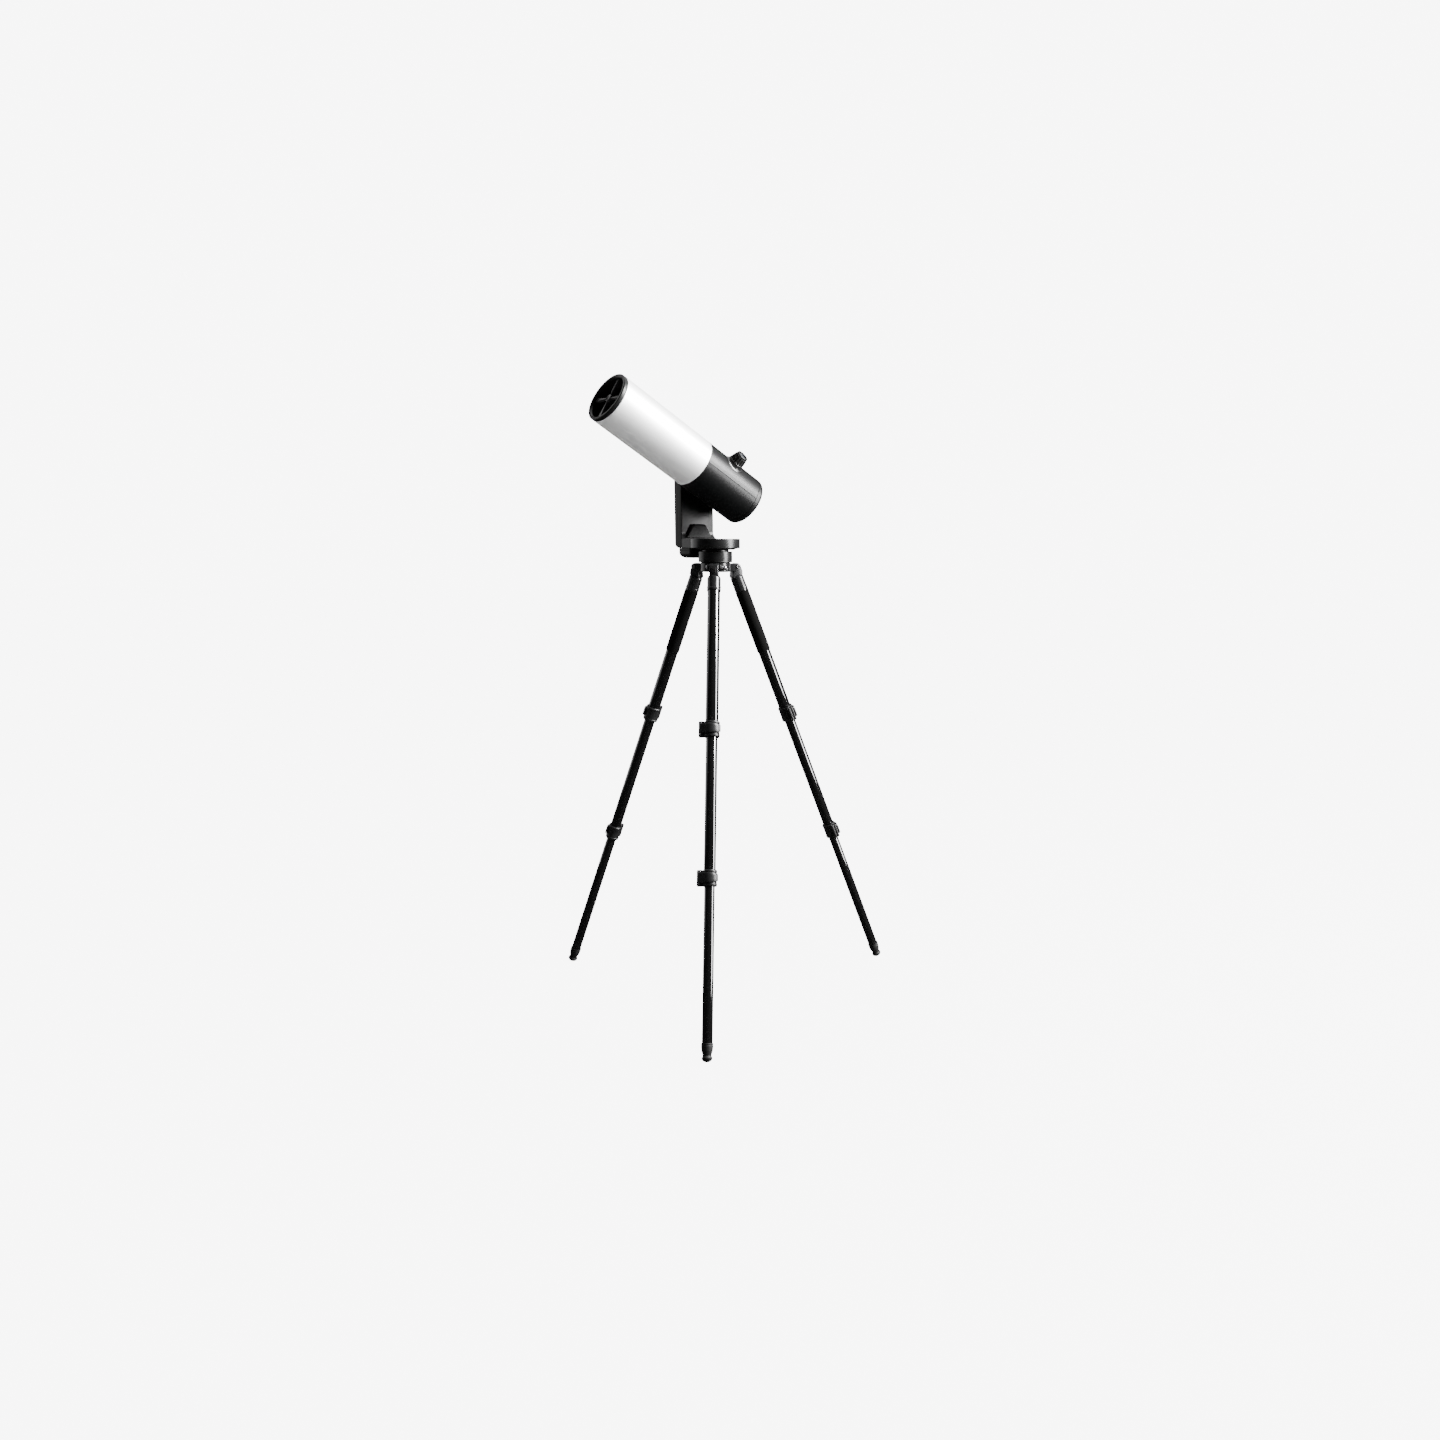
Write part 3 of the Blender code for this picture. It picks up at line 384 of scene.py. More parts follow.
# ---------------------------------------------------------------- tripod head
def shoulder():
    bm = bmesh.new()
    top, bottom = HINGE_Z + 0.0118, HINGE_Z - 0.0145
    spread = math.degrees(math.asin(CHEEK_INNER / SHOULDER_RADIUS))
    plan = []
    for leg in ("front", "right", "left"):  # one notch for each knuckle, in order round the disc
        azimuth = AZIMUTHS[leg]
        turn = Matrix.Rotation(math.radians(azimuth), 2)
        plan += [tuple(turn @ Vector((NOTCH, across))) for across in (-CHEEK_INNER, CHEEK_INNER)]
        plan += arc((0, 0), SHOULDER_RADIUS, azimuth + spread, azimuth + 120 - spread, 16)
    edge = 0.0034
    middle = HEAD @ shift(z=(top + bottom) / 2)
    slab(bm, softened(plan, edge, steps=3), top - bottom, middle, edge=edge, steps=5)

    root, eye_radius, underside = 0.0300, 0.0085, -0.0130  # of a fork's cheek, seen from its side
    outline = [(root, eye_radius)] + arc((HINGE_RADIUS, 0), eye_radius, 90, -30, 8)
    outline += [(HINGE_RADIUS - 0.004, underside), (root, underside)]
    outline = softened(outline[::-1], 0.002, steps=2)
    for azimuth in AZIMUTHS.values():
        turn = HEAD @ shift(z=HINGE_Z) @ spin(azimuth, "Z")
        for side in (-1, 1):
            cheek = turn @ shift(y=side * (CHEEK_INNER + CHEEK_OUTER) / 2) @ SIDEWAYS
            slab(bm, outline, CHEEK_OUTER - CHEEK_INNER, cheek, edge=0.0012)

    shelf = softened([(0.034, -0.0105), (0.0625, -0.0095), (0.0625, 0.0095), (0.034, 0.0105)], 0.005)
    slab(bm, shelf, 0.006, HEAD @ shift(z=HINGE_Z - 0.006) @ spin(LEVEL_AZIMUTH, "Z"), edge=0.001)
    piece("shoulder_look", bm, CAST, "tripod_head", ["shoulder_casting"])


def bubble_level():
    bm = bmesh.new()
    spot = HEAD @ spin(LEVEL_AZIMUTH, "Z") @ shift(LEVEL_OUT, 0, HINGE_Z - 0.003 + GAP)
    rim = [(0.0052, 0.0055), (0.0070, 0.0055), (0.0075, 0.0048), (0.0075, 0.0), (0.0052, 0.0)]
    lathe(bm, rim, spot, sides=MEDIUM, closed=True, materials=[0] * 5)
    vial = [(0.0, 0.0052), (0.0030, 0.0050), (0.0051, 0.0042), (0.0051, 0.0002), (0.0, 0.0002)]
    lathe(bm, vial, spot, sides=SMALL, materials=[1] * 5)
    piece("bubble_level_look", bm, [BRIGHT, VIAL], "tripod_head", ["bubble_level"])


def pedestal():
    """A drum with a spindle up into the turntable and a foot down into the shoulder."""
    r, low, high = PEDESTAL_RADIUS, HINGE_Z + 0.0121, PEDESTAL_TOP
    spindle_radius, spindle_top = 0.0080, 1.2790
    step_radius, step_top = 0.0370, PEDESTAL_TOP + 0.0047
    foot_radius, foot_bottom = 0.0220, HINGE_Z - 0.0105
    profile = [
        (0.0, spindle_top), (spindle_radius, spindle_top), (spindle_radius, step_top),
        (step_radius, step_top),
        (step_radius, high), (r, high), (r, low + 0.0042), (r - 0.0006, low + 0.0038),
        (r - 0.0006, low + 0.0032), (r, low + 0.0028), (r, low), (foot_radius, low),
        (foot_radius, foot_bottom), (0.0, foot_bottom),
    ]
    profile = softened(profile, 0.0012, closed=False, steps=3)
    turned("pedestal_look", profile, HEAD, MOUNT_SKIN, "tripod_head", "pedestal", "mount_black", sides=FINE)


def lock_screw():
    """A knurled head on a plain shank; its axis runs forwards."""
    matrix = shift(*JOINTS["pedestal_lock_screw_turn"]["pos_m"]) @ spin(-90, "X")
    knurls = 20
    profile = [
        (0.0, 0.0156), (0.0070, 0.0156), (0.0092, 0.0148), (0.0100, 0.0138), (0.0100, 0.0032),
        (0.0090, 0.0020),
        (0.0060, 0.0012), (0.0040, 0.0012), (0.0040, -0.0175), (0.0, -0.0175),
    ]
    turned(
        "lock_screw_look", profile, matrix, PAD_SKIN, "pedestal_lock_screw", "pedestal_lock_screw",
        "knob_black", sides=knurls * 8, ribs=(knurls, 0.0010), rib_rows=(3, 4),
    )


# ---------------------------------------------------------------- legs
def leg_collar(leg, base, line):
    """A knuckle between the fork's cheeks, on a sleeve with a rim at its lower end and two set screws."""
    bm = bmesh.new()
    outline = arc((0, 0), KNUCKLE_RADIUS, 0, 150, 12)
    outline += [(-HINGE_OUT - 0.0150, -0.0200), (-HINGE_OUT - 0.0150, -0.0270)]
    outline += [(-HINGE_OUT + 0.0165, -0.0270), (KNUCKLE_RADIUS, -0.0150)]
    outline = softened(outline, 0.003, steps=3)
    slab(bm, outline, 2 * (CHEEK_INNER - GAP), base @ SIDEWAYS, edge=0.0015)
    bore, neck = UPPER_RADIUS + GAP, 0.0110
    radius = UPPER_RADIUS + 0.0013
    rim = radius + 0.0006
    profile = [
        (bore, -UPPER_TUBE_TOP), (bore, -COLLAR_BOTTOM), (rim, -COLLAR_BOTTOM),
        (rim, -COLLAR_BOTTOM + 0.0055),
        (radius, -COLLAR_BOTTOM + 0.0065), (radius, -0.0300), (radius - 0.0040, -0.0235), (neck, -0.0225),
        (neck, -UPPER_TUBE_TOP),
    ]
    lathe(bm, softened(profile, 0.0008, steps=2), line, sides=MEDIUM, closed=True)
    for side in (-1, 1):
        seat = line @ shift(0, side * (radius - 0.0004), -0.0560) @ spin(-90 * side, "X")
        screw_head(bm, seat, radius=0.0026, height=0.0011)
    piece(f"{leg}_leg_collar_look", bm, SLEEVE, f"{leg}_upper_leg", [f"{leg}_leg_collar"])


def hinge_bolt(leg, base):
    bm = bmesh.new()
    radius, reach = 0.0040, CHEEK_OUTER + GAP
    lathe(bm, [(0.0, reach), (radius, reach), (radius, -reach), (0.0, -reach)], base @ SIDEWAYS, sides=SMALL)
    for side in (-1, 1):
        screw_head(bm, base @ shift(y=side * reach) @ spin(-90 * side, "X"), radius=0.0064, height=0.0031)
    piece(f"{leg}_hinge_bolt_look", bm, BRIGHT, "tripod_head", [f"{leg}_hinge_bolt"])


def angle_stop(leg, base):
    """A small upright tab with three ribs for the thumb."""
    bm = bmesh.new()
    upright = base @ shift(KNUCKLE_RADIUS + 0.0018 + GAP, 0, -0.0128) @ spin(90, "Y") @ spin(90, "Z")
    slab(bm, softened(oblong(0.0060, -0.0085, 0.0085), 0.002), 0.0034, upright, edge=0.0008)
    for row in (-0.0045, -0.0015, 0.0015):
        rib = softened(oblong(0.0048, row - 0.0005, row + 0.0005), 0.0003, steps=1)
        slab(bm, rib, 0.0042, upright, edge=0.0002, steps=1)
    piece(f"{leg}_angle_stop_look", bm, PAD_SKIN, f"{leg}_angle_stop", [f"{leg}_angle_stop"])


def tube_section(leg, name, body, line, radius, top, bottom):
    inner = radius - TUBE_WALL
    profile = softened([(inner, top), (radius, top), (radius, bottom), (inner, bottom)], 0.0004, steps=2)
    turned(
        f"{leg}_{name}_look", profile, line, LEG, body, f"{leg}_{name}", "leg_black", sides=MEDIUM,
        closed=True,
    )


def lock(leg, name, body, line, middle, outer_tube, inner_tube):
    """A clamp: a grooved band, two ears with a slit between them, clamping bolts, and a fixing screw."""
    bm = bmesh.new()
    here = line @ shift(z=-middle)
    half = LOCK_HEIGHT / 2
    band = outer_tube + 0.0042
    profile = [
        (inner_tube + GAP, -half), (band - 0.0006, -half), (band, -half + 0.0040), (band, -half + 0.0062),
        (band - 0.0009, -half + 0.0070), (band - 0.0009, half - 0.0070), (band, half - 0.0062),
        (band, half - 0.0020), (band - 0.0020, half), (outer_tube + GAP, half), (outer_tube + GAP, -0.0005),
        (inner_tube + GAP, -0.0005),
    ]
    lathe(bm, softened(profile, 0.0008, steps=2), here, sides=MEDIUM, closed=True)
    near, far = -(outer_tube + 0.0020), -(outer_tube + 0.0175)
    ear = softened([(far, -half), (near, -half), (near, half), (far, half)], 0.0035)
    for side in (-1, 1):
        slab(bm, ear, 0.0060, here @ shift(x=side * 0.0040) @ STANDING, edge=0.0012)
        for height in (-0.0165, 0.0165):
            at = here @ shift(side * 0.0068, far + 0.0052, height) @ spin(90 * side, "Y")
            screw_head(bm, at, radius=0.0030, height=0.0012, material=1)
    fixing = here @ shift(outer_tube - 0.0002, 0, half + 0.0060) @ spin(90, "Y")
    screw_head(bm, fixing, radius=0.0024, height=0.0010)
    piece(f"{leg}_{name}_look", bm, [LOCK, BRIGHT], body, [f"{leg}_{name}"])


def lever(leg, name, line, middle, radius):
    """A flip lever that wraps the band from its pin, tapering to a lifted thumb end."""
    bm = bmesh.new()
    here = line @ shift(z=-middle)
    inner, outer = radius + 0.0046, radius + 0.0090
    pin = (0.0120, -(radius + 0.0105))
    outline = arc((0, 0), outer, -38, 56, 14) + arc((0, 0), outer + 0.0012, 60, 64, 1)
    outline += arc((0, 0), inner + 0.0016, 63, 58, 1) + arc((0, 0), inner, 54, -35, 14)
    outline += arc(pin, 0.0042, 150, 320, 8)
    outline = softened(outline, 0.0006, steps=1)
    half, taper_start, taper_end = 0.0130, -10.0, 64.0  # half height, and degrees round the band
    levels = [
        (-1.0, 0.0012), (-0.94, 0.0004), (-0.86, 0.0), (-0.40, 0.0), (0.0, 0.0), (0.40, 0.0), (0.86, 0.0),
        (0.94, 0.0004), (1.0, 0.0012),
    ]
    rings = []
    for level, step_in in levels:
        ring = []
        for x, y in inset(outline, step_in):
            turn = math.degrees(math.atan2(y, x))
            share = max(0.0, min(1.0, (turn - taper_start) / (taper_end - taper_start)))
            ring.append((x, y, level * half * (1.0 - 0.30 * share ** 1.5)))
        rings.append(ring)
    loft(bm, rings, here)
    for side, turn in ((-1, 180), (1, 0)):
        end = here @ shift(*pin, side * (half - 0.0001)) @ spin(turn, "X")
        screw_head(bm, end, radius=0.0026, height=0.0012, material=1)
    node = f"{leg}_{name}"
    piece(f"{node}_look", bm, [LOCK, BRIGHT], node, [node], angle=38)


def grip(leg, line):
    inner = UPPER_RADIUS + GAP
    outer = inner + 0.0016
    profile = [
        (inner, -GRIP_TOP), (outer, -GRIP_TOP), (outer, -GRIP_TOP - 0.0060), (outer, -GRIP_BOTTOM + 0.0060),
        (outer, -GRIP_BOTTOM), (inner, -GRIP_BOTTOM),
    ]
    turned(
        f"{leg}_grip_look", softened(profile, 0.0012, steps=3), line, FOAM, f"{leg}_upper_leg", f"{leg}_grip",
        "grip_foam", sides=MEDIUM, closed=True,
    )


def foot(leg, line, base):
    """A grooved collar, a tapered shank and a flared pad whose sole lies flat on the floor."""
    tilt = math.acos(base.col[2][2])
    floor_down = HINGE_Z / math.cos(tilt) - HINGE_OUT * math.tan(tilt)  # along the leg's own line
    cut = 0.0012  # depth of the dome that the floor flattens
    centre = floor_down - (FOOT_DOME - cut) / math.cos(tilt)
    bore = LOWER_RADIUS + GAP
    shank = [  # radius, distance below the foot's top
        (bore, 0.0), (0.0153, 0.0), (0.0153, 0.0040), (0.0147, 0.0046), (0.0147, 0.0054), (0.0153, 0.0060),
        (0.0151, 0.0100), (0.0140, 0.0190), (0.0116, 0.0270), (0.0110, 0.0300),
        (0.0116, 0.0322), (0.0134, 0.0350),
    ]
    profile = softened([(radius, -FOOT_TOP - down) for radius, down in shank], 0.0010, closed=False, steps=2)
    profile += [on_circle((0, -centre), FOOT_DOME, angle) for angle in (-30, -36, -44, -54, -66, -78)]
    bore_end = -FOOT_TOP - FOOT_BORE_DEPTH
    profile += [(0.0, -centre - FOOT_DOME), (0.0, bore_end), (bore, bore_end)]
    bm = bmesh.new()
    lathe(bm, profile, line, sides=MEDIUM, closed=True)
    for vert in bm.verts:
        vert.co.z = max(vert.co.z, 0.0)
    piece(f"{leg}_foot_look", bm, RUBBER, f"{leg}_lower_leg", [f"{leg}_foot"])


def make_leg(leg):
    base = leg_frame(leg)
    line = base @ shift(x=-HINGE_OUT)
    upper, middle, lower = (f"{leg}_{part}_leg" for part in ("upper", "middle", "lower"))
    hinge_bolt(leg, base)
    leg_collar(leg, base, line)
    angle_stop(leg, base)
    tube_section(leg, "upper_tube", upper, line, UPPER_RADIUS, -UPPER_TUBE_TOP, -UPPER_LOCK)
    tube_section(leg, "middle_tube", middle, line, MIDDLE_RADIUS, -UPPER_LOCK + NEST, -LOWER_LOCK)
    foot_end = -FOOT_TOP - FOOT_BORE_DEPTH + 0.0005
    tube_section(leg, "lower_tube", lower, line, LOWER_RADIUS, -LOWER_LOCK + NEST, foot_end)
    if leg != "front":
        grip(leg, line)
    lock(leg, "upper_lock", upper, line, UPPER_LOCK, UPPER_RADIUS, MIDDLE_RADIUS)
    lever(leg, "upper_lever", line, UPPER_LOCK, UPPER_RADIUS)
    lock(leg, "lower_lock", middle, line, LOWER_LOCK, MIDDLE_RADIUS, LOWER_RADIUS)
    lever(leg, "lower_lever", line, LOWER_LOCK, MIDDLE_RADIUS)
    foot(leg, line, base)


# ---------------------------------------------------------------- mount
def turntable():
    """A round table with a tongue out to the arm, and a shallow cone beneath."""
    bm = bmesh.new()
    meet = math.degrees(math.acos(ARM_HALF_WIDTH / TABLE_RADIUS))
    rim = arc((0, 0), TABLE_RADIUS, -meet, 180 + meet, 72)
    end = -(ARM_INNER - GAP)
    outline = rim + [(-ARM_HALF_WIDTH, end), (ARM_HALF_WIDTH, end)]
    depth = TABLE_TOP - TABLE_RIM
    slab(bm, outline, depth, MOUNT @ shift(z=TABLE_RIM + depth / 2), edge=0.0016, steps=4)
    well, inside = 0.0120, TABLE_RIM + 0.001
    cone = [
        (0.0, inside), (TABLE_RADIUS - 0.0020, inside), (TABLE_RADIUS - 0.0180, TABLE_BOTTOM),
        (well, TABLE_BOTTOM), (well, TABLE_RIM), (0.0, TABLE_RIM),
    ]
    lathe(bm, cone, MOUNT, sides=FINE)
    piece("turntable_look", bm, MOUNT_SKIN, "mount", ["turntable"])


def arm_ring(offset, step_in=0.0, lift=0.0, corner=ARM_CORNER):
    """One ring of the arm's side outline, upright at that offset from the mount's axis."""
    half = ARM_HALF_WIDTH - step_in
    bottom = TABLE_RIM + lift
    side = [bottom + corner + (ALTITUDE_AT.z - bottom - corner) * k / 20 for k in range(1, 20)]
    points = arc((-half + corner, bottom + corner), corner, 180, 270, 5)
    points += [((half - corner) * k / 7, bottom) for k in range(-6, 7)]
    points += arc((half - corner, bottom + corner), corner, 270, 360, 5)
    points += [(half, z) for z in side]
    points += arc((0, ALTITUDE_AT.z), half, 0, 180, 48)
    points += [(-half, z) for z in reversed(side)]
    return [(x, -offset, z) for x, z in points]


def drawn_in(ring, height, radius, offset):
    """The ring's points brought onto a circle round the middle of the arm at that height."""
    away = [Vector((x, z - height)).normalized() * radius for x, _, z in ring]
    return [(step.x, -offset, height + step.y) for step in away]


def arm_frame():
    """The inner half of the arm, with a fillet where it rises from the turntable."""
    bm = bmesh.new()
    edge = 0.0014
    rings = [arm_ring(ARM_INNER + edge * along, edge * inwards) for inwards, along in quarter_round(4)]
    seam = ARM_SEAM - GAP / 2
    rings += [arm_ring(seam - SEAM_EDGE), arm_ring(seam, SEAM_EDGE)]
    loft(bm, rings, MOUNT)

    back, low = -ARM_INNER - 0.001, TABLE_TOP + GAP  # the fillet starts a little inside the arm
    centre = (-ARM_INNER + ARM_FILLET, TABLE_TOP + ARM_FILLET)
    section = [(back, low), (centre[0], low)] + arc(centre, ARM_FILLET, 270, 180, 14)[:-1]
    section.append((back, centre[1]))
    half = ARM_HALF_WIDTH - 0.0008
    loft(bm, [[(x, y, z) for y, z in section] for x in (-half, half)], MOUNT)
    piece("arm_frame_look", bm, ARM_SKIN, "mount", ["arm_frame"])


def rounding_at(left, radius):
    """How far a rounded edge has drawn in, with that distance left to the face it rounds into."""
    return radius - math.sqrt(max(0.0, radius ** 2 - max(0.0, radius - left) ** 2))


def arm_cover():
    """The outer half of the arm, rounded at its sides and more at its foot, with the button's well."""
    bm = bmesh.new()
    seam = ARM_SEAM + GAP / 2
    rings = [arm_ring(seam, SEAM_EDGE), arm_ring(seam + SEAM_EDGE)]
    side_round, foot_round, steps = 0.0055, 0.0172, 12
    for k in range(1, steps + 1):
        left = (ARM_OUTER - seam - SEAM_EDGE) * (1 - k / steps) ** 1.6  # closer steps towards the outer face
        step_in = rounding_at(left, side_round)
        rings.append(arm_ring(ARM_OUTER - left, step_in, rounding_at(left, foot_round), ARM_CORNER + step_in))
    well = [(0.0101, 0.0), (0.0098, 0.0003), (0.0098, 0.0075)]  # radius and depth
    rings += [drawn_in(rings[-1], BUTTON_Z, radius, ARM_OUTER - depth) for radius, depth in well]
    loft(bm, rings, MOUNT)
    piece("arm_cover_look", bm, ARM_SKIN, "mount", ["arm_cover"])


def arm_foot_pad():
    """A raised pad on the arm's inner face, narrower towards its top and towards its own face."""
    bm = bmesh.new()
    rows = (  # offset from the mount's axis, half widths at the base and top, and how much its ends draw in
        (ARM_INNER - GAP, 0.0475, 0.0235, 0.0, 0.0), (0.0775, 0.0452, 0.0212, 0.0, 0.0008),
        (0.0755, 0.0438, 0.0200, 0.0003, 0.0022), (0.0744, 0.0415, 0.0183, 0.00096, 0.0048),
    )
    rings = []
    for offset, base, top, lift, drop in rows:
        low, high = TABLE_TOP + 2 * GAP + lift, PAD_TOP - drop
        outline = softened([(-base, low), (base, low), (top, high), (-top, high)], 0.004)
        rings.append([(x, -offset, z) for x, z in outline])
    loft(bm, rings, MOUNT)
    piece("arm_foot_pad_look", bm, PAD_SKIN, "mount", ["arm_foot_cover"])


def battery():
    """A housing under the arm, well rounded beneath, with a groove round its lid."""
    bm = bmesh.new()
    top = TABLE_RIM - GAP
    inner, outer, half = 0.0520, 0.1165, 0.0450
    corner, under = 0.0100, 0.0150

    def plan_at(pull):
        return softened(oblong(half - pull, -outer + pull, -inner - pull), corner, steps=6)

    rings = []
    for inwards, along in quarter_round(8):
        height = BATTERY_BOTTOM + under * along
        rings.append([(x, y, height) for x, y in plan_at(under * inwards)])
    plan = plan_at(0.0)
    groove = top - 0.0075
    for height, pull in ((groove - 0.0005, 0.0), (groove, 0.0006), (groove + 0.0005, 0.0), (top, 0.0)):
        rings.append([(x, y, height) for x, y in inset(plan, pull)])
    loft(bm, rings, MOUNT)
    piece("battery_housing_look", bm, ARM_SKIN, "mount", ["battery_housing"])


def altitude_bearing():
    """A machined ring round the spindle, on the arm's inner face."""
    back, face, bore, radius = ARM_INNER - GAP, 0.0772, 0.0125, 0.0400
    profile = [(bore, back), (radius, back), (radius, face + 0.0012), (radius - 0.0012, face), (bore, face)]
    turned(
        "altitude_bearing_look", softened(profile, 0.0006, steps=2), ARM_AXIS, MACHINED, "mount",
        "altitude_bearing", "bearing_metal", sides=FINE, closed=True,
    )


def power_button():
    at = MOUNT @ shift(0, -ARM_OUTER, BUTTON_Z) @ SIDEWAYS
    profile = [
        (0.0, 0.0010), (0.0040, 0.0011), (0.0062, 0.0014), (0.0066, 0.0018), (0.0083, 0.0018),
        (0.0095, 0.0006),
        (0.0095, -0.0040), (0.0, -0.0040),
    ]
    turned("power_button_look", profile, at, BRIGHT, "power_button", "power_button", "button_metal")


# ---------------------------------------------------------------- optical tube
def front_ring():
    """A ring with a raised rim in front, and a sleeve that goes into the white tube."""
    radius, sleeve, sleeve_end = TUBE_RADIUS - 0.0002, TUBE_RADIUS - 0.0018, RING_BACK - 0.0140
    profile = [
        (APERTURE + 0.0030, FRONT - 0.0006), (TUBE_RADIUS - 0.0024, FRONT - 0.0006),
        (TUBE_RADIUS - 0.0020, FRONT), (radius, FRONT - 0.0022), (radius, RING_BACK + 0.0012),
        (radius - 0.0006, RING_BACK), (sleeve, RING_BACK), (sleeve, sleeve_end), (APERTURE, sleeve_end),
        (APERTURE, FRONT - 0.0050),
    ]
    turned(
        "front_ring_look", softened(profile, 0.0006, steps=2), TUBE, RING, "optical_tube", "front_ring",
        "ring_black", sides=FINE, closed=True,
    )


def spider():
    """Four vanes that flare into a dished hub, and feet that flare against the ring."""
    bm = bmesh.new()
    reach, half, fillet, flare = APERTURE - GAP, 0.0013, 0.0125, 0.0040  # half: of a vane's thickness
    corner = half + fillet
    loop = []
    for quarter in range(4):
        turn = Matrix.Rotation(math.radians(90 * quarter), 2)
        points = arc((reach - flare, -half - flare), flare, 0, 90, 4)
        points += arc((reach - flare, half + flare), flare, 270, 360, 4)
        points += arc((corner, corner), fillet, 270, 180, 10)
        loop += [tuple(turn @ Vector(point)) for point in points]
    slab(bm, loop, 0.0086, TUBE @ shift(z=FRONT - 0.0120), edge=0.0006, steps=2)
    face = FRONT - 0.0077
    dish = [
        (0.0, face + 0.0003), (0.0060, face + 0.0008), (0.0088, face + 0.0018), (0.0100, face + 0.0010),
        (0.0100, face - 0.0050), (0.0, face - 0.0050),
    ]
    lathe(bm, dish, TUBE, sides=MEDIUM)
    for azimuth in (90, 210, 330):
        seat = TUBE @ spin(azimuth, "Z") @ shift(0.0050, 0, face + 0.0004)
        screw_head(bm, seat, radius=0.0013, height=0.0007)
    piece("spider_look", bm, VANE, "optical_tube", ["spider"])


def camera_module():
    """The sensor's can behind the spider, with a groove round it and a window at its far end."""
    back = FRONT - 0.0165 - GAP
    steps = [  # radius, distance behind the spider
        (0.0, 0.0), (0.0150, 0.0), (0.0165, 0.0015), (0.0165, 0.0080), (0.0160, 0.0085), (0.0160, 0.0110),
        (0.0165, 0.0115), (0.0165, 0.0300), (0.0120, 0.0340), (0.0120, 0.0400), (0.0085, 0.0400),
        (0.0080, 0.0385), (0.0, 0.0380),
    ]
    profile = [(radius, back - behind) for radius, behind in steps]
    turned("camera_sensor_look", profile, TUBE, INNER, "optical_tube", "camera_sensor", "inner_black")


def white_tube():
    """Enamelled outside with a turned groove near its lower end, and lined with flock inside."""
    top, groove = RING_BACK - GAP, JOINT + 0.0045
    r, inner, ease = TUBE_RADIUS, TUBE_RADIUS - 0.0015, 0.0006
    floor_of_groove = r - 0.0005
    profile = [
        (inner, top), (r - ease, top), (r, top - ease), (r, groove + 0.0008),
        (floor_of_groove, groove + 0.0004),
        (floor_of_groove, groove - 0.0002), (r, groove - 0.0006), (r, JOINT + ease), (r - ease, JOINT),
        (inner, JOINT),
    ]
    bm = bmesh.new()
    lathe(bm, profile, TUBE, sides=FINE, closed=True, materials=[0] * 9 + [1])
    piece("white_tube_look", bm, [WHITE, TUBE_LINING], "optical_tube", ["white_tube"])


def body_shells():
    """Two half shells whose long edges are eased, so that the seam reads as a fine dark line."""
    inner, ease = 0.0665, 0.0006
    high, low = JOINT - GAP, BODY_BACK + GAP
    span, edge, steps = 179.5, 0.35, 64  # degrees of a half shell and of its eased edge
    inside = [span * i / steps for i in range(2, steps - 1)]
    turns = [0.0, edge] + inside + [span - edge, span]
    for name, start in (("upper_shell", 90.25), ("lower_shell", -89.75)):
        bm = bmesh.new()
        rings = []
        for turn in turns:
            c, s = math.cos(math.radians(start + turn)), math.sin(math.radians(start + turn))
            outer = TUBE_RADIUS - (ease if turn in (0.0, span) else 0.0)
            section = [
                (inner, high), (outer - ease, high), (outer, high - ease), (outer, low + ease),
                (outer - ease, low), (inner, low),
            ]
            rings.append([(r * c, r * s, z) for r, z in section])
        loft(bm, rings, TUBE)
        piece(f"{name}_look", bm, [BODY], "optical_tube", [name])


def rear_cap():
    """A shallow cup with a fine groove round the focus knob's seat."""
    wall = 0.0030
    flat, centre = TUBE_RADIUS - REAR_ROUNDING, REAR + REAR_ROUNDING
    ease = 0.0006
    profile = [
        (TUBE_RADIUS - wall, BODY_BACK), (TUBE_RADIUS - ease, BODY_BACK), (TUBE_RADIUS, BODY_BACK - ease),
    ]
    profile += arc((flat, centre), REAR_ROUNDING, 0, -90, 20)
    profile += [(0.0260, REAR), (0.0255, REAR + 0.0006), (0.0248, REAR + 0.0006), (0.0243, REAR)]
    profile += [(0.0060, REAR), (0.0060, REAR + wall)]
    profile += arc((flat, centre), REAR_ROUNDING - wall, -90, 0, 8)
    turned(
        "rear_cap_look", profile, TUBE, BODY, "optical_tube", "rear_cap", "body_black", sides=FINE,
        closed=True,
    )


def primary_mirror():
    sag, steps = 0.0018, 16
    shares = [k / steps for k in range(steps + 1)]
    profile = [(MIRROR_RADIUS * share, MIRROR_EDGE - sag + sag * share ** 2) for share in shares]
    profile += [(MIRROR_RADIUS, MIRROR_BACK), (0.0, MIRROR_BACK)]
    turned(
        "primary_mirror_look", profile, TUBE, MIRROR, "optical_tube", "primary_mirror", "mirror", sides=FINE,
    )


def mirror_cell():
    bore, rim, vent = MIRROR_RADIUS + 0.0005, 0.0655, 0.0120
    lip, seat = MIRROR_EDGE + 0.0020, MIRROR_BACK - GAP
    profile = [
        (bore, lip), (rim, lip), (rim, seat - 0.0040), (vent, seat - 0.0040),
        (vent, seat), (bore, seat),
    ]
    turned(
        "mirror_cell_look", softened(profile, 0.0006, steps=2), TUBE, INNER, "optical_tube", "mirror_cell",
        "inner_black", sides=FINE, closed=True,
    )


def saddle_height(across):
    """Height of the tube's surface, with its clearance, at that distance from the tube's middle plane."""
    return math.sqrt((TUBE_RADIUS + GAP) ** 2 - across ** 2)


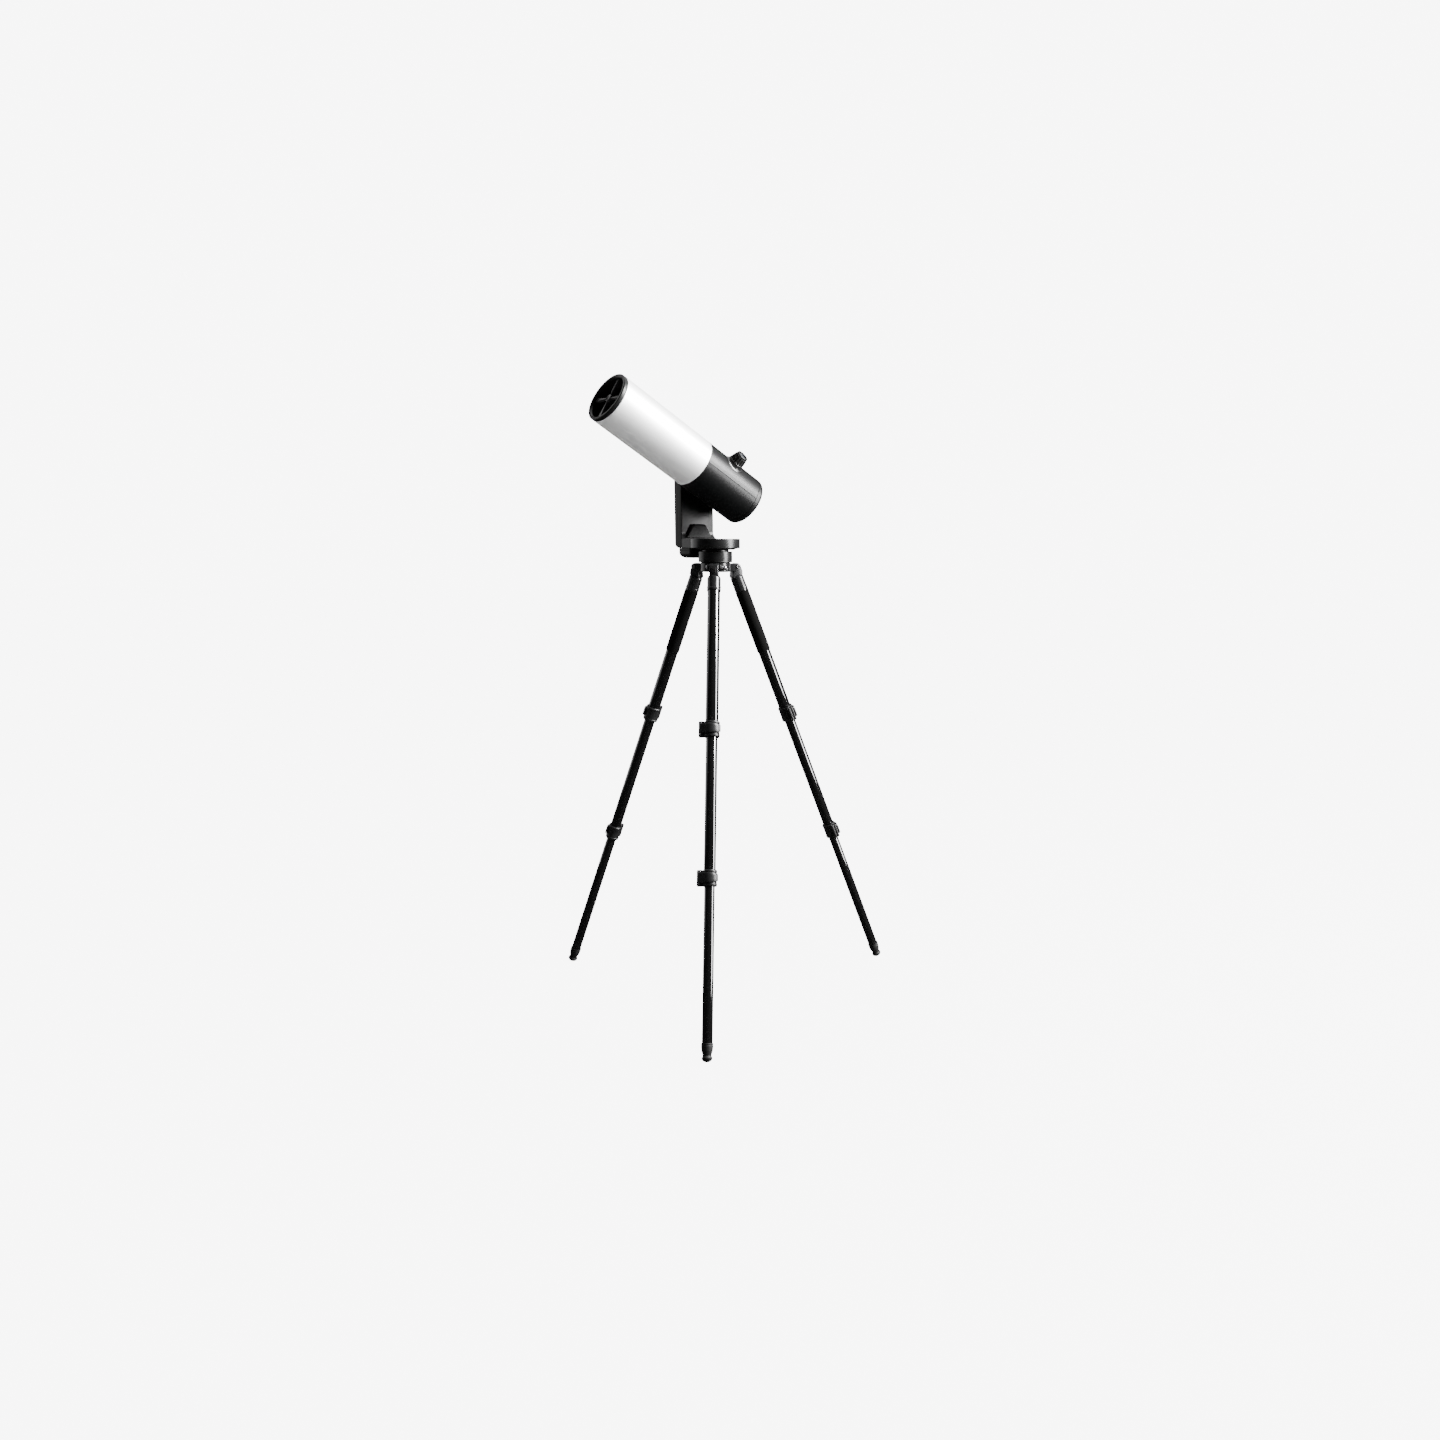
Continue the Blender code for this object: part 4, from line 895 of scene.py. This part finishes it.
def spindle():
    """A shaft into the arm and a flange whose face follows the tube."""
    bm = bmesh.new()
    shaft, flange, face, middle = 0.0120, 0.0380, 0.0769, 0.00001
    end = ARM_OUTER - 0.0075
    turned_rows = [
        (middle, end), (shaft - 0.0008, end), (shaft, end - 0.0008), (shaft, face), (flange - 0.0010, face),
        (flange, face - 0.0010),
    ]
    rings = [[(x, -height, y) for x, y in circle(radius)] for radius, height in turned_rows]
    for radius in (flange, flange / 2, middle):
        rings.append([(x, -saddle_height(x), y) for x, y in circle(radius)])
    loft(bm, rings, TUBE)
    piece("altitude_spindle_look", bm, RING, "optical_tube", ["altitude_spindle"])


def eyepiece_collar():
    """A short neck that flares out onto the tube."""
    bm = bmesh.new()
    rows = (  # radius, height above the tube's surface, height above the tube's axis, share of the latter
        (0.0199, 0.0, 0.0795, 1.0), (0.0216, 0.0, 0.0795, 1.0), (0.0222, 0.0, 0.0789, 1.0),
        (0.0224, 0.0, 0.0770, 0.9), (0.0229, 0.0052, 0.0752, 0.6), (0.0239, 0.0033, 0.0738, 0.3),
        (0.0254, 0.0020, 0.0, 0.0), (0.0272, 0.0011, 0.0, 0.0), (0.0284, 0.0008, 0.0, 0.0),
        (0.0288, 0.0003, 0.0, 0.0), (0.0286, 0.0001, 0.0, 0.0), (0.0199, 0.0001, 0.0, 0.0),
    )
    rings = []
    for radius, above, level, share in rows:
        rings.append([
            (x, y, share * level + (1 - share) * (saddle_height(y) + above)) for x, y in circle(radius)
        ])
    loft(bm, rings, EYEPIECE, loop=True)
    piece("eyepiece_collar_look", bm, COLLAR, "optical_tube", ["eyepiece_collar"])


def eyepiece_barrel():
    """A barrel with a cupped rim round the eye lens."""
    bm = bmesh.new()
    barrel = [
        (0.0, 0.1005), (0.0110, 0.1005), (0.0118, 0.1020), (0.0128, 0.1045), (0.0150, 0.1045),
        (0.0168, 0.1034),
        (0.0168, 0.0990), (0.0150, 0.0990), (0.0150, 0.0798), (0.0196, 0.0798),
        (0.0196, 0.0640), (0.0, 0.0640),
    ]
    lathe(bm, barrel, EYEPIECE, sides=FINE, materials=[1] + [0] * 10)
    piece("eyepiece_barrel_look", bm, [EYE_SKIN, LENS], "optical_tube", ["eyepiece_barrel"])


def diopter_ring():
    ribs = 16
    ring = [
        (0.0153, 0.0987), (0.0168, 0.0987), (0.0178, 0.0982), (0.0184, 0.0972),
        (0.0190, 0.0945), (0.0206, 0.0862),
        (0.0214, 0.0820), (0.0212, 0.0806), (0.0206, 0.0801), (0.0153, 0.0801),
    ]
    turned(
        "diopter_ring_look", ring, EYEPIECE, RUBBER, "diopter_ring", "diopter_ring", "diopter_rubber",
        sides=ribs * 12, closed=True, ribs=(ribs, 0.0016), rib_rows=(3, 4, 5, 6),
    )


def focus_knob():
    """A knurled knob on a short shaft through the rear cap."""
    knurls = 24
    steps = [  # radius, distance behind the rear cap's face
        (0.0, -0.0060), (0.0055, -0.0060), (0.0055, GAP), (0.0150, GAP), (0.0166, 0.0010), (0.0170, 0.0022),
        (0.0170, 0.0088), (0.0162, 0.0100), (0.0145, 0.0110), (0.0120, 0.0110),
        (0.0112, 0.0104), (0.0, 0.0104),
    ]
    profile = [(radius, REAR - behind) for radius, behind in steps]
    turned(
        "focus_knob_look", profile, TUBE, PAD_SKIN, "focus_knob", "focus_knob", "knob_black",
        sides=knurls * 8, ribs=(knurls, 0.0008), rib_rows=(5, 6),
    )


# ---------------------------------------------------------------- studio
def floor(seen):
    """A pale floor that looks as bright as the room, with faint shadows, and throws little light back."""
    bm = bmesh.new()
    bmesh.ops.create_grid(bm, x_segments=1, y_segments=1, size=30.0)
    mesh = bpy.data.meshes.new("floor")
    bm.to_mesh(mesh)
    bm.free()
    material = finish("studio floor", (0.20, 0.20, 0.20), 0.9, grain=40, bump=0.0, wear=0.01, mottle=3)
    nodes, links = material.node_tree.nodes, material.node_tree.links
    path, pale, mix = (nodes.new(f"ShaderNode{kind}") for kind in ("LightPath", "Emission", "MixShader"))
    share = nodes.new("ShaderNodeMath")
    share.operation = "MULTIPLY"
    share.inputs[1].default_value = 0.88  # the rest still shows the object's shadow
    pale.inputs["Strength"].default_value = seen
    links.new(path.outputs["Is Camera Ray"], share.inputs[0])
    links.new(share.outputs["Value"], mix.inputs["Fac"])
    links.new(nodes["Principled BSDF"].outputs["BSDF"], mix.inputs[1])
    links.new(pale.outputs["Emission"], mix.inputs[2])
    links.new(mix.outputs["Shader"], nodes["Material Output"].inputs["Surface"])
    mesh.materials.append(material)
    obj = bpy.data.objects.new("floor", mesh)
    obj.location.z = -0.0005
    obj.visible_glossy = False  # black gloss would mirror it as grey
    bpy.context.scene.collection.objects.link(obj)


def softbox(name, azimuth, distance, height, width, tall, watts, aim=0.85, mirrored=True):
    """A rectangular light; azimuth 0 is on the camera's side and grows to the right, and aim is a height."""
    data = bpy.data.lights.new(name, "AREA")
    data.shape = "RECTANGLE"
    data.size, data.size_y = width, tall
    data.energy = watts
    obj = bpy.data.objects.new(name, data)
    turn = math.radians(azimuth)
    obj.location = (distance * math.sin(turn), AXIS.y - distance * math.cos(turn), height)
    look = Vector((0, AXIS.y, aim)) - obj.location
    obj.rotation_mode = "QUATERNION"
    obj.rotation_quaternion = look.to_track_quat("-Z", "Y")
    obj.visible_camera = False
    obj.visible_glossy = mirrored
    bpy.context.scene.collection.objects.link(obj)


def surroundings(seen, glow):
    """A pale room to look at, which lights the object only a little."""
    world = bpy.data.worlds.new("studio")
    world.use_nodes = True
    nodes, links = world.node_tree.nodes, world.node_tree.links
    background = nodes["Background"]
    path = nodes.new("ShaderNodeLightPath")
    level = nodes.new("ShaderNodeMapRange")
    level.inputs["To Min"].default_value = glow
    level.inputs["To Max"].default_value = seen
    links.new(path.outputs["Is Camera Ray"], level.inputs["Value"])
    links.new(level.outputs["Result"], background.inputs["Strength"])
    background.inputs["Color"].default_value = (1.0, 1.0, 1.0, 1.0)
    bpy.context.scene.world = world


def camera():
    """Placed, tilted and shifted as the photograph's perspective asks."""
    data = bpy.data.cameras.new("camera")
    data.sensor_width = 36.0
    data.lens = 32.52
    data.shift_x, data.shift_y = -0.1176, -0.0091
    heading, dip, roll = math.radians(3.855), math.radians(7.355), 0.00522
    ahead = Vector((math.sin(heading) * math.cos(dip), math.cos(heading) * math.cos(dip), -math.sin(dip)))
    obj = bpy.data.objects.new("camera", data)
    obj.rotation_mode = "QUATERNION"
    level = ahead.to_track_quat("-Z", "Y").to_matrix()
    obj.rotation_quaternion = (level @ Matrix.Rotation(roll, 3, "Z")).to_quaternion()
    obj.location = (0.2397, AXIS.y - 3.6590, 1.2923)
    bpy.context.scene.collection.objects.link(obj)
    bpy.context.scene.camera = obj


def main():
    shoulder()
    bubble_level()
    pedestal()
    lock_screw()
    for leg in AZIMUTHS:
        make_leg(leg)
    turntable()
    arm_frame()
    arm_cover()
    arm_foot_pad()
    battery()
    altitude_bearing()
    power_button()
    front_ring()
    spider()
    camera_module()
    white_tube()
    body_shells()
    rear_cap()
    primary_mirror()
    mirror_cell()
    spindle()
    eyepiece_collar()
    eyepiece_barrel()
    diopter_ring()
    focus_knob()

    floor(seen=9.0)
    softbox("right softbox", azimuth=80, distance=3.4, height=1.8, width=1.0, tall=3.6, watts=600)
    softbox("high softbox", azimuth=82, distance=3.0, height=3.1, width=1.3, tall=1.8, watts=900, aim=1.4)
    softbox("left panel", azimuth=-118, distance=3.6, height=1.8, width=4.2, tall=3.4, watts=60)
    softbox(
        "low fill", azimuth=-50, distance=2.8, height=0.5, width=2.5, tall=0.9, watts=45, aim=1.6,
        mirrored=False,
    )
    softbox("top softbox", azimuth=160, distance=1.2, height=4.0, width=3.6, tall=3.0, watts=80)
    surroundings(seen=8.0, glow=0.04)
    camera()


main()
